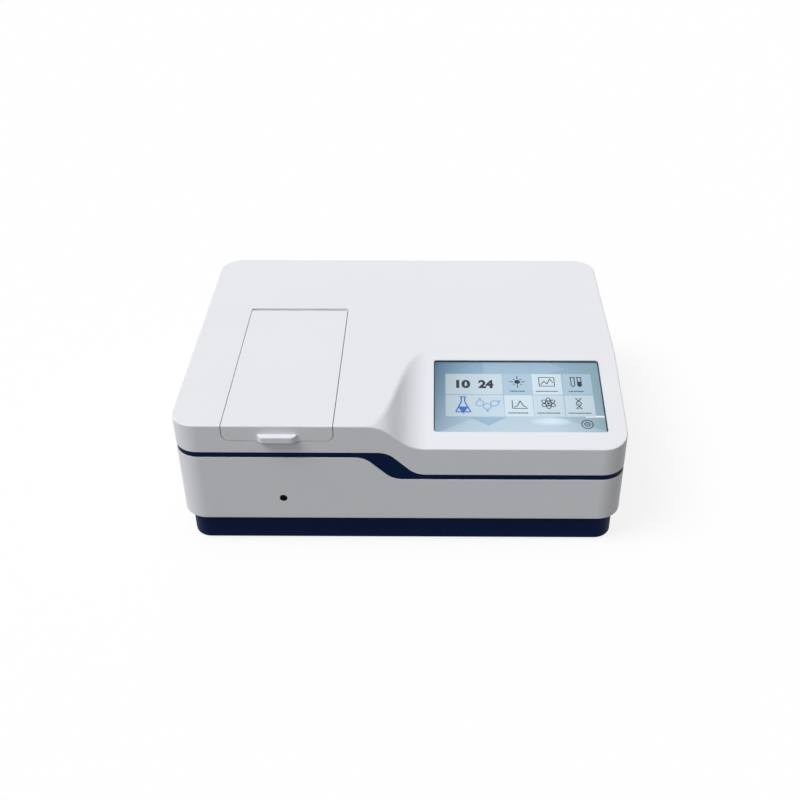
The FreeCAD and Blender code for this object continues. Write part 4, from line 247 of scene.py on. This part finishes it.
wheel_low, wheel_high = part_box("filter_wheel")
axis_y, axis_z = [(wheel_low[k] + wheel_high[k]) / 2 for k in (1, 2)]
filters, place = start_finish("filter glasses")
y, z = place.split()[1:]
turn = place.math("ARCTAN2", z - axis_z, y - axis_y) / (2 * math.pi) + 0.5
tints = place.node("ValToRGB", {"stops": [(0.0, colour(245, 240, 220)), (0.2, colour(240, 190, 60)),
                                         (0.4, colour(220, 110, 40)), (0.6, colour(170, 30, 40)),
                                         (0.8, colour(60, 90, 170)), (1.0, colour(120, 190, 200))]},
                   {"Fac": turn})
end_finish(place, tints, 0.02 + place.noise(90.0) * 0.02, Transmission_Weight=1.0, IOR=1.52)
dress(filters, "order_filters")

ceramic, place = start_finish("socket ceramic")
chalk = place.noise(900.0, 3.0)
end_finish(place, chalk.blend(colour(226, 222, 212), colour(240, 238, 230)), 0.6 + chalk * 0.2, chalk,
           0.00005)
dress(ceramic, "lamp_sockets")

# Circuit boards. Green solder mask over copper tracks, which stand a little proud,
# and black and grey components above the mask.

MASK_HIGH = 0.0018
board, place = start_finish("solder mask")
z = place.split()[2]
track = place.node("TexBrick", {"offset": 0.5}, {"Vector": place, "Scale": 320.0, "Mortar Size": 0.03}, "Fac")
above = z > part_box("main_board")[0][2] + MASK_HIGH
mask_green = track.blend(colour(26, 84, 56), colour(16, 62, 42))
parts = place.noise(400.0).blend(colour(24, 24, 26), colour(46, 46, 48))
end_finish(place, above.blend(mask_green, parts), 0.32 + above * 0.2, track, 0.00003)
dress(board, "main_board", "detector_board")

# Casing. The cover, the lower housing and the lid are injection-moulded in cool white
# plastic with a fine spark-eroded texture, and screwed together from below.

white, place = start_finish("white moulded plastic")
grain = place.noise(2400.0, 2.0)
flow = place.noise(7.0, 2.0)
end_finish(place, flow.blend(colour(228, 230, 234), colour(232, 234, 238)), 0.4 + grain * 0.14, grain,
           0.000025, Specular_IOR_Level=0.4)
dress(white, "upper_cover", "lower_housing", "sample_lid")

# Black mouldings. The liner under the lid keeps light out of the compartment, and the fan, the
# mains inlet and the switch are set in the rear panel. All are matt glass-filled plastic.

black, place = start_finish("black moulded plastic")
grain = place.noise(1800.0, 2.0)
end_finish(place, grain.blend(colour(22, 22, 24), colour(34, 34, 36)), 0.45 + grain * 0.15, grain, 0.00004)
dress(black, "lid_liner", "fan_frame", "fan_rotor", "mains_inlet", "switch_body", "switch_rocker",
      "display_module")

# Pull rod and its port bush. The rod is steel with a black oxide skin and the bush is a dull black moulding
# pressed into the housing. Both are made near-black, their own black deepened with painted shade, so the port
# reads as a dark hole.

oxide_and_hole_shade, place = start_finish("black oxide")
bloom = place.noise(1400.0, 2.0)
end_finish(place, bloom.blend(colour(4, 4, 6), colour(10, 10, 12)), 0.6 + bloom * 0.2, bloom, 0.00002,
           Specular_IOR_Level=0.1)
dress(oxide_and_hole_shade, "rod_bush", "pull_rod")

# Rear panel. Flat cut sheet, screwed over an opening in the housing. Its light grey
# powder coat is slightly peeled, like orange skin.

powder, place = start_finish("powder coat")
peel = place.noise(700.0, 2.0)
end_finish(place, peel.blend(colour(196, 198, 202), colour(206, 208, 212)), 0.5 + peel * 0.15, peel, 0.00008)
dress(powder, "rear_panel")

# Touch screen. A clear glass sits under the cover's lip, with a lit display behind it.
# The picture on the display is built in thin layers in the air gap behind the glass.

CONSOLE_TILT = math.radians(11.28)
CONSOLE_FRONT = Vector((0.0, -0.18895, 0.1372))
PICTURE_LEVEL, SHADE_LEVEL, TILE_LEVEL, INK_LEVEL, BORDER_LEVEL = 0.00325, 0.00322, 0.00319, 0.00312, 0.00306
console = Matrix.Translation(CONSOLE_FRONT) @ Matrix.Rotation(CONSOLE_TILT, 4, "X")

glass, place = start_finish("touch glass")
film = place.noise(40.0, 2.0)
end_finish(place, colour(246, 250, 252), 0.02 + film * 0.02, Transmission_Weight=1.0, IOR=1.1)
dress(glass, "touch_glass")


def new_piece(name, shape, material, body="casing"):
    """Makes a finished piece of a bmesh and hangs it on a body."""
    mesh = bpy.data.meshes.new(name)
    shape.normal_update()
    shape.to_mesh(mesh)
    shape.free()
    for face in mesh.polygons:
        face.use_smooth = False
    mesh.materials.append(material)
    piece = bpy.data.objects.new(name, mesh)
    bpy.context.scene.collection.objects.link(piece)
    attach(piece, body)


def on_console(shape, level):
    """Lays a flat drawing, in millimetres, on the console at that depth in metres."""
    bmesh.ops.scale(shape, vec=(0.001, 0.001, 0.001), verts=shape.verts)
    bmesh.ops.translate(shape, vec=(0.0, 0.0, -level), verts=shape.verts)
    bmesh.ops.transform(shape, matrix=console, verts=shape.verts)
    return shape


def rectangle(shape, left, near, right, far):
    """A flat rectangle in the drawing."""
    made = bmesh.ops.create_grid(shape, x_segments=1, y_segments=1, size=0.5)["verts"]
    bmesh.ops.scale(shape, vec=(right - left, far - near, 1.0), verts=made)
    bmesh.ops.translate(shape, vec=((left + right) / 2, (near + far) / 2, 0.0), verts=made)


def stroke(shape, points, width):
    """A line of that width through the points, drawn as overlapping bars."""
    for first, last in zip(points, points[1:]):
        run = Vector(last) - Vector(first)
        made = bmesh.ops.create_grid(shape, x_segments=1, y_segments=1, size=0.5)["verts"]
        bmesh.ops.scale(shape, vec=(run.length, width, 1.0), verts=made)
        bmesh.ops.rotate(shape, matrix=Matrix.Rotation(math.atan2(run.y, run.x), 3, "Z"), verts=made)
        bmesh.ops.translate(shape, vec=((first[0] + last[0]) / 2, (first[1] + last[1]) / 2, 0.0), verts=made)


def disc(shape, x, y, radius, segments=24):
    """A flat disc in the drawing."""
    made = bmesh.ops.create_circle(shape, cap_ends=True, segments=segments, radius=radius)["verts"]
    bmesh.ops.translate(shape, vec=(x, y, 0.0), verts=made)


def oval(x, y, wide, high, turn, steps=32):
    """Points round an oval, closed."""
    points = []
    for k in range(steps + 1):
        angle = 2 * math.pi * k / steps
        px, py = wide * math.cos(angle), high * math.sin(angle)
        points.append((x + px * math.cos(turn) - py * math.sin(turn),
                       y + px * math.sin(turn) + py * math.cos(turn)))
    return points


UNDER_LIP, MARGIN = 5.0, 1.5
WINDOW_NEAR, WINDOW_FAR = 25.6, 139.5
glass_low, glass_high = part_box("touch_glass")
WINDOW_LEFT, WINDOW_RIGHT = glass_low[0] * 1000 + UNDER_LIP, glass_high[0] * 1000 - UNDER_LIP
PICTURE_Y, PICTURE_LONG = -0.1638, 0.1117


def screen_edges(place):
    """How far across and up the picture a place is, and how dark its left and right sides are."""
    x, y = place.split()[:2]
    across = (x - WINDOW_LEFT / 1000) / ((WINDOW_RIGHT - WINDOW_LEFT) / 1000)
    up = (y - PICTURE_Y) / PICTURE_LONG
    left = place.math("MAXIMUM", 1.0 - across * 2.4, 0.0)
    right = place.math("MINIMUM", place.math("MAXIMUM", across * 3.2 - 2.2, 0.0), 1.0)
    return across, up, left * left * (0.55 + up * 0.45), right


def shine(place, light):
    """A surface of the display, which gives off that light."""
    close(place, place.node("BsdfPrincipled", {}, {"Base Color": (0.01, 0.01, 0.01, 1.0), "Roughness": 0.4,
                                                   "Emission Color": light, "Emission Strength": 1.0}))


GLOW_ACROSS, GLOW_UP = 0.68, 0.17
backdrop, place = start_finish("display backdrop")
across, up, left, right = screen_edges(place)
facet = ((up - across * 0.5) > 0.5) * ((up + across * 0.9) < 1.62) * (across > 0.3)
sweep = ((up + across * 0.62) < 0.66) * ((up - across * 0.9) < 0.0)
sky = up.blend(colour(184, 206, 220), colour(140, 170, 195))
sky = left.blend(sky, colour(56, 98, 126))
sky = (right * 0.8).blend(sky, colour(122, 152, 162))
sky = (facet * 0.16).blend(sky, colour(206, 224, 238))
sky = (sweep * 0.25).blend(sky, colour(214, 228, 238))
beside, over = across - GLOW_ACROSS, up - GLOW_UP
glow = place.math("MAXIMUM", 1.0 - (beside * beside * 60.0 + over * over * 300.0), 0.0)
sky = (glow * 0.8).blend(sky, colour(226, 240, 246))
shine(place, sky)


def lit(name, base):
    """A colour that the display shines with."""
    material, place = start_finish(name)
    left, right = screen_edges(place)[2:]
    glow = (left * 0.75 + right * 0.2).blend(base, tuple(v * 0.4 for v in base[:3]) + (1.0,))
    shine(place, glow)
    return material


picture = bmesh.new()
rectangle(picture, WINDOW_LEFT - MARGIN, WINDOW_NEAR - MARGIN, WINDOW_RIGHT + MARGIN, WINDOW_FAR + MARGIN)
new_piece("display_picture", on_console(picture, PICTURE_LEVEL), backdrop)

TILE_LEFT = (49.2, 116.0, 149.0, 184.6)
TILE_RIGHT = (114.8, 148.2, 183.4, 217.8)
TILE_NEAR = (51.8, 86.2)
TILE_HIGH = 33.2
pale = lit("pale tile", colour(212, 226, 235))
plain = lit("plain tile", colour(202, 217, 227))
blue = lit("blue tile", colour(174, 199, 217))
for name, material, places in (("pale_tiles", pale, ((2, 1), (1, 0))),
                               ("plain_tiles", plain, ((0, 1), (0, 0), (2, 0), (3, 0))),
                               ("blue_tiles", blue, ((1, 1), (3, 1)))):
    shape = bmesh.new()
    for column, row in places:
        rectangle(shape, TILE_LEFT[column], TILE_NEAR[row], TILE_RIGHT[column], TILE_NEAR[row] + TILE_HIGH)
    new_piece(name, on_console(shape, TILE_LEVEL), material)

# The bright bar at the right of the picture is a painted glint, a painted reflection of light on the glass.
glints = bmesh.new()
rectangle(glints, 206.0, 50.6, 228.6, 53.4)
new_piece("screen_glints", on_console(glints, SHADE_LEVEL), lit("painted glint", colour(246, 252, 252)))
pointer = bmesh.new()
corners = ((73.6, 51.0, 0.0), (97.0, 37.7, 0.0), (118.4, 51.0, 0.0))
pointer.faces.new([pointer.verts.new(corner) for corner in corners])
new_piece("screen_pointer", on_console(pointer, SHADE_LEVEL), lit("screen shade", colour(152, 184, 209)))
# A dark frame glows dimly round the picture, just inside the window's edges.
BORDER_SIDE, BORDER_NEAR, BORDER_FAR = 1.3, 0.8, 1.1
border = bmesh.new()
left, near, right, far = WINDOW_LEFT - MARGIN, WINDOW_NEAR - MARGIN, WINDOW_RIGHT + MARGIN, WINDOW_FAR + MARGIN
rectangle(border, left, near, WINDOW_LEFT + BORDER_SIDE, far)
rectangle(border, WINDOW_RIGHT - BORDER_SIDE, near, right, far)
rectangle(border, left, near, right, WINDOW_NEAR + BORDER_NEAR)
rectangle(border, left, WINDOW_FAR - BORDER_FAR, right, far)
new_piece("screen_border", on_console(border, BORDER_LEVEL), lit("dark window frame", colour(40, 60, 74)))

ink = lit("icon ink", colour(8, 18, 38))
icons = bmesh.new()
THIN, LINE, BOLD = 1.0, 1.1, 1.2
SUN, SUN_AT = 3.3, (132.1, 106.5)
disc(icons, *SUN_AT, SUN)
for k in range(8):
    turn = math.pi * k / 4
    far = 9.4 if k % 2 == 0 else 6.8
    stroke(icons, [(SUN_AT[0] + r * math.cos(turn), SUN_AT[1] + r * math.sin(turn)) for r in (4.4, far)],
           LINE)
stroke(icons, [(157.2, 113.8), (157.2, 99.6), (174.8, 99.6), (174.8, 113.8), (157.2, 113.8)], THIN)
stroke(icons, [(159.0, 101.5), (163.0, 108.0), (166.0, 103.0), (170.0, 111.5), (173.2, 105.0)], LINE)
for x in (196.2, 203.8):
    stroke(icons, [(x - 2.1, 113.6), (x - 2.1, 100.6), (x, 98.8), (x + 2.1, 100.6), (x + 2.1, 113.6)], LINE)
    stroke(icons, [(x - 3.2, 113.9), (x + 3.2, 113.9)], BOLD)
rectangle(icons, 202.0, 99.8, 205.6, 107.2)
stroke(icons, [(124.8, 77.4), (124.8, 64.2), (142.2, 64.2)], THIN)
stroke(icons, [(126.4, 66.0), (130.4, 68.0), (133.8, 76.2), (137.2, 68.0), (141.2, 66.0)], LINE)
ATOM = (165.9, 72.3)
for k in range(3):
    stroke(icons, oval(*ATOM, 8.6, 3.2, math.pi * k / 3 + math.pi / 6), LINE)
disc(icons, *ATOM, 1.7)
HELIX_X, HELIX_NEAR, HELIX_LONG = 200.2, 63.2, 17.4
for side in (-1, 1):
    stroke(icons, [(HELIX_X + side * 3.0 * math.cos(math.pi * k / 8), HELIX_NEAR + HELIX_LONG * k / 16)
                   for k in range(17)], THIN)
for k in (1, 3, 5, 7, 9, 11, 13, 15):
    half = 3.0 * abs(math.cos(math.pi * k / 8))
    level = HELIX_NEAR + HELIX_LONG * k / 16
    stroke(icons, [(HELIX_X - half, level), (HELIX_X + half, level)], 0.5)
GEAR = (206.9, 40.1)
stroke(icons, oval(*GEAR, 6.3, 6.3, 0.0), BOLD)
stroke(icons, oval(*GEAR, 3.0, 3.0, 0.0), LINE)
disc(icons, *GEAR, 1.0)
CAPTION_HALF, CAPTION_GAP = 0.75, 0.6
for left, right, level in ((123.1, 140.8, 91.3), (152.5, 179.3, 91.3), (190.4, 209.0, 91.3),
                           (119.4, 144.3, 57.1), (152.4, 179.8, 57.1), (187.3, 212.8, 57.1)):
    for k in range(9):
        wide = 1.5 + 0.8 * (k * 5 % 3)
        if left + wide < right:
            rectangle(icons, left, level - CAPTION_HALF, left + wide, level + CAPTION_HALF)
        left += wide + CAPTION_GAP
new_piece("screen_icons", on_console(icons, INK_LEVEL), ink)

flask_blue = lit("flask blue", colour(40, 112, 196))
flask = bmesh.new()
stroke(flask, [(67.0, 82.0), (67.0, 74.0), (60.5, 58.5), (77.5, 58.5), (71.0, 74.0), (71.0, 82.0)], 1.6)
stroke(flask, [(65.2, 82.0), (72.8, 82.0)], 1.6)
bmesh.ops.create_circle(flask, cap_ends=True, segments=3, radius=7.4,
                        matrix=Matrix.Translation((69.0, 63.2, 0.0)) @ Matrix.Rotation(math.pi, 4, "Z"))
new_piece("flask_icon", on_console(flask, INK_LEVEL), flask_blue)
rings = bmesh.new()
for x, y in ((88.0, 72.0), (96.3, 67.2), (104.6, 72.0)):
    stroke(rings, oval(x, y, 4.8, 4.8, math.pi / 6, 6), 1.5)
for x, y in ((88.0, 78.6), (96.3, 60.6), (109.6, 75.0)):
    disc(rings, x, y, 1.9)
new_piece("ring_icon", on_console(rings, INK_LEVEL), lit("ring blue", colour(134, 182, 222)))


def number(text, left, right, near, high, heavy):
    """Plain digits from the built-in face, stretched to fit, as a flat drawing."""
    curve = bpy.data.curves.new(text, "FONT")
    curve.body = text
    curve.offset = heavy
    holder = bpy.data.objects.new(text, curve)
    bpy.context.scene.collection.objects.link(holder)
    bpy.context.view_layer.update()
    shape = bmesh.new()
    shape.from_mesh(holder.to_mesh())
    holder.to_mesh_clear()
    bpy.data.objects.remove(holder)
    xs = [v.co.x for v in shape.verts]
    ys = [v.co.y for v in shape.verts]
    bmesh.ops.translate(shape, vec=(-min(xs), -min(ys), 0.0), verts=shape.verts)
    bmesh.ops.scale(shape, vec=((right - left) / (max(xs) - min(xs)), high / (max(ys) - min(ys)), 1.0),
                    verts=shape.verts)
    bmesh.ops.translate(shape, vec=(left, near, 0.0), verts=shape.verts)
    return shape


DIGITS_NEAR, DIGITS_HIGH, DIGITS_OFFSET = 96.0, 13.3, 0.05
for name, text, left, right in (("clock_hours", "10", 61.5, 77.7), ("clock_minutes", "24", 87.1, 104.5)):
    digits = number(text, left, right, DIGITS_NEAR, DIGITS_HIGH, DIGITS_OFFSET)
    new_piece(name, on_console(digits, INK_LEVEL), ink)

# Rear fittings. Plated pan-head screws with star recesses hold the panel and the fan's
# guard. The rocker carries two printed marks, and the serial socket has a black insert.


def screw_head(shape, x, y, z, radius):
    """A domed head with a star recess, on a surface that faces the rear."""
    made = bmesh.ops.create_cone(shape, cap_ends=True, segments=24, radius1=radius, radius2=radius * 0.8,
                                 depth=radius * 0.55)["verts"]
    top = max({face for vert in made for face in vert.link_faces},
              key=lambda face: face.calc_center_median().z)
    rest = set(shape.verts)
    bmesh.ops.inset_individual(shape, faces=[top], thickness=radius * 0.32)
    for vert in top.verts:
        vert.co.xy *= 1.0 + 0.16 * math.cos(6.0 * math.atan2(vert.co.y, vert.co.x))
    sunk = bmesh.ops.extrude_face_region(shape, geom=[top])["geom"]
    sunk = [item for item in sunk if isinstance(item, bmesh.types.BMVert)]
    bmesh.ops.translate(shape, vec=(0.0, 0.0, -radius * 0.35), verts=sunk)
    bmesh.ops.delete(shape, geom=[top], context="FACES_ONLY")
    made = list(set(made) | (set(shape.verts) - rest))
    place = Matrix.Translation((x, y + radius * 0.275, z)) @ Matrix.Rotation(-math.pi / 2, 4, "X")
    bmesh.ops.transform(shape, matrix=place, verts=made)


SCREW_INSET, STEP_X, STEP_HIGH, MIDDLE_X, PORTS_X = 0.0077, -0.076, 0.080, 0.080, -0.030
PANEL_SCREW_RADIUS, GUARD_SCREW_RADIUS = 0.003, 0.0026
GUARD_SCREW_OUT, GUARD_LUG_FACE = 0.025, 0.0012
panel_low, panel_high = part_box("rear_panel")
left, right = panel_low[0] + SCREW_INSET, panel_high[0] - SCREW_INSET
low, high = panel_low[2] + SCREW_INSET, panel_high[2] - SCREW_INSET
heads = bmesh.new()
for x, z in ((left, low), (left, high), (STEP_X, high), (STEP_X, low), (MIDDLE_X, low),
             (MIDDLE_X, STEP_HIGH), (right, low), (right, STEP_HIGH), (PORTS_X, STEP_HIGH)):
    screw_head(heads, x, panel_high[1], z, PANEL_SCREW_RADIUS)
guard_low, guard_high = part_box("fan_guard")
for side_x in (-GUARD_SCREW_OUT, GUARD_SCREW_OUT):
    for side_z in (-GUARD_SCREW_OUT, GUARD_SCREW_OUT):
        screw_head(heads, (guard_low[0] + guard_high[0]) / 2 + side_x, panel_high[1] + GUARD_LUG_FACE,
                   (guard_low[2] + guard_high[2]) / 2 + side_z, GUARD_SCREW_RADIUS)
new_piece("rear_screws", heads, zinc)

paint, place = start_finish("white print")
fleck = place.noise(3000.0, 2.0)
end_finish(place, fleck.blend(colour(214, 214, 212), colour(232, 232, 230)), 0.5 + fleck * 0.2)


def on_rear(shape, x, y, z, tilt):
    """Stands a flat drawing, in millimetres, on a surface that faces the rear."""
    bmesh.ops.scale(shape, vec=(0.001, 0.001, 0.001), verts=shape.verts)
    turn = Matrix.Translation((x, y, z)) @ Matrix.Rotation(-math.pi / 2 - tilt, 4, "X")
    bmesh.ops.transform(shape, matrix=turn @ Matrix.Translation((0.0, 0.0, 0.00005)), verts=shape.verts)
    return shape


ROCKER_TILT = math.radians(20.0)
MARK_ON, MARK_OFF = (0.19155, 0.07037), (0.19023, 0.06288)
rocker_low, rocker_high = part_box("switch_rocker")
rocker_x = (rocker_low[0] + rocker_high[0]) / 2
bar = bmesh.new()
rectangle(bar, -0.35, -1.9, 0.35, 1.9)
new_piece("rocker_mark_on", on_rear(bar, rocker_x, *MARK_ON, ROCKER_TILT), paint, "rocker")
loop = bmesh.new()
stroke(loop, oval(0.0, 0.0, 1.7, 1.7, 0.0), 0.6)
new_piece("rocker_mark_off", on_rear(loop, rocker_x, *MARK_OFF, 0.0), paint, "rocker")

CONTACT_PROUD = 0.00005
serial_low, serial_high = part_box("serial_socket")
serial_x, serial_z = [(serial_low[k] + serial_high[k]) / 2 for k in (0, 2)]
CONTACT_PITCH, CONTACT_ROW, CONTACT_RADIUS = 2.77, 1.42, 0.6
insert = bmesh.new()
corners = ((-7.5, -3.3, 0.0), (7.5, -3.3, 0.0), (6.5, 3.3, 0.0), (-6.5, 3.3, 0.0))
insert.faces.new([insert.verts.new(corner) for corner in corners])
new_piece("serial_insert", on_rear(insert, serial_x, serial_high[1], serial_z, 0.0), black)
contacts = bmesh.new()
for k in range(9):
    row = k // 5
    disc(contacts, CONTACT_PITCH * (k % 5 - 2.0 + row * 0.5), CONTACT_ROW * (2 * row - 1), CONTACT_RADIUS, 12)
new_piece("serial_contacts", on_rear(contacts, serial_x, serial_high[1] + CONTACT_PROUD, serial_z, 0.0), brass)

# Studio. The camera stands where the photograph was taken, above and in front of the table.
# One wide, far lamp shines from the upper left, and the plain surroundings fill the sides.

CAMERA_PLACE = (0.03487, -1.1151, 0.84616)
LOOKS_DOWN, LEANS = math.radians(34.81), 0.0062
lens = bpy.data.cameras.new("camera")
lens.lens = 48.29
lens.sensor_width = 36.0
lens.shift_x = -0.0344
lens.clip_start = 0.05
camera = bpy.data.objects.new("camera", lens)
camera.location = CAMERA_PLACE
camera.rotation_euler = (math.radians(90.0) - LOOKS_DOWN, 0.0, LEANS)
bpy.context.scene.collection.objects.link(camera)
bpy.context.scene.camera = camera


def lamp(name, comes_from, spread, strength):
    """A far, wide, soft light from that direction."""
    light = bpy.data.lights.new(name, "SUN")
    light.angle = math.radians(spread)
    light.energy = strength
    holder = bpy.data.objects.new(name, light)
    holder.rotation_euler = Vector(comes_from).to_track_quat("Z", "Y").to_euler()
    bpy.context.scene.collection.objects.link(holder)


lamp("overhead", comes_from=(-0.5, -0.2, 0.84), spread=30.0, strength=2.3)


def seen_rays(wire):
    """1 for the rays that see the white surroundings: camera, glossy and transmission."""
    path = [wire.node("LightPath", out=name)
            for name in ("Is Camera Ray", "Is Glossy Ray", "Is Transmission Ray")]
    return wire.math("MAXIMUM", wire.math("MAXIMUM", path[0], path[1]), path[2])


FILL_STRENGTH = 0.42
world = bpy.data.worlds.new("studio")
world.use_nodes = True
world.node_tree.nodes.clear()
sky = Wire(world.node_tree, None)
seen = seen_rays(sky)
side = sky.node("TexCoord", out="Generated").split()[0]
flag = side.math("MAXIMUM", side, 0.0)
fill = sky.node("Background", {}, {"Color": flag.blend((1.0, 1.0, 1.0, 1.0), (0.52, 0.52, 0.52, 1.0)),
                                   "Strength": FILL_STRENGTH})
bright = sky.node("Background", {}, {"Color": (1.0, 1.0, 1.0, 1.0), "Strength": 1.0})
mixed = sky.node("MixShader", {}, {0: seen, 1: fill, 2: bright})
last = world.node_tree.nodes.new("ShaderNodeOutputWorld")
world.node_tree.links.new(mixed.socket, last.inputs["Surface"])
bpy.context.scene.world = world

TABLE_HALF = 6.0
table, place = start_finish("white table")
seen = seen_rays(place)
shade = seen.blend(colour(124, 124, 124), colour(252, 252, 252))
surface = place.node("BsdfDiffuse", {}, {"Color": shade})
glow = place.node("Emission", {}, {"Color": (1.0, 1.0, 1.0, 1.0), "Strength": 1.0})
close(place, place.node("MixShader", {}, {0: seen * 0.85, 1: surface, 2: glow}))
floor = bmesh.new()
bmesh.ops.create_grid(floor, x_segments=1, y_segments=1, size=TABLE_HALF)
mesh = bpy.data.meshes.new("table_top")
floor.to_mesh(mesh)
floor.free()
mesh.materials.append(table)
ground = bpy.data.objects.new("table_top", mesh)
bpy.context.scene.collection.objects.link(ground)

bpy.context.scene.view_settings.view_transform = "Standard"
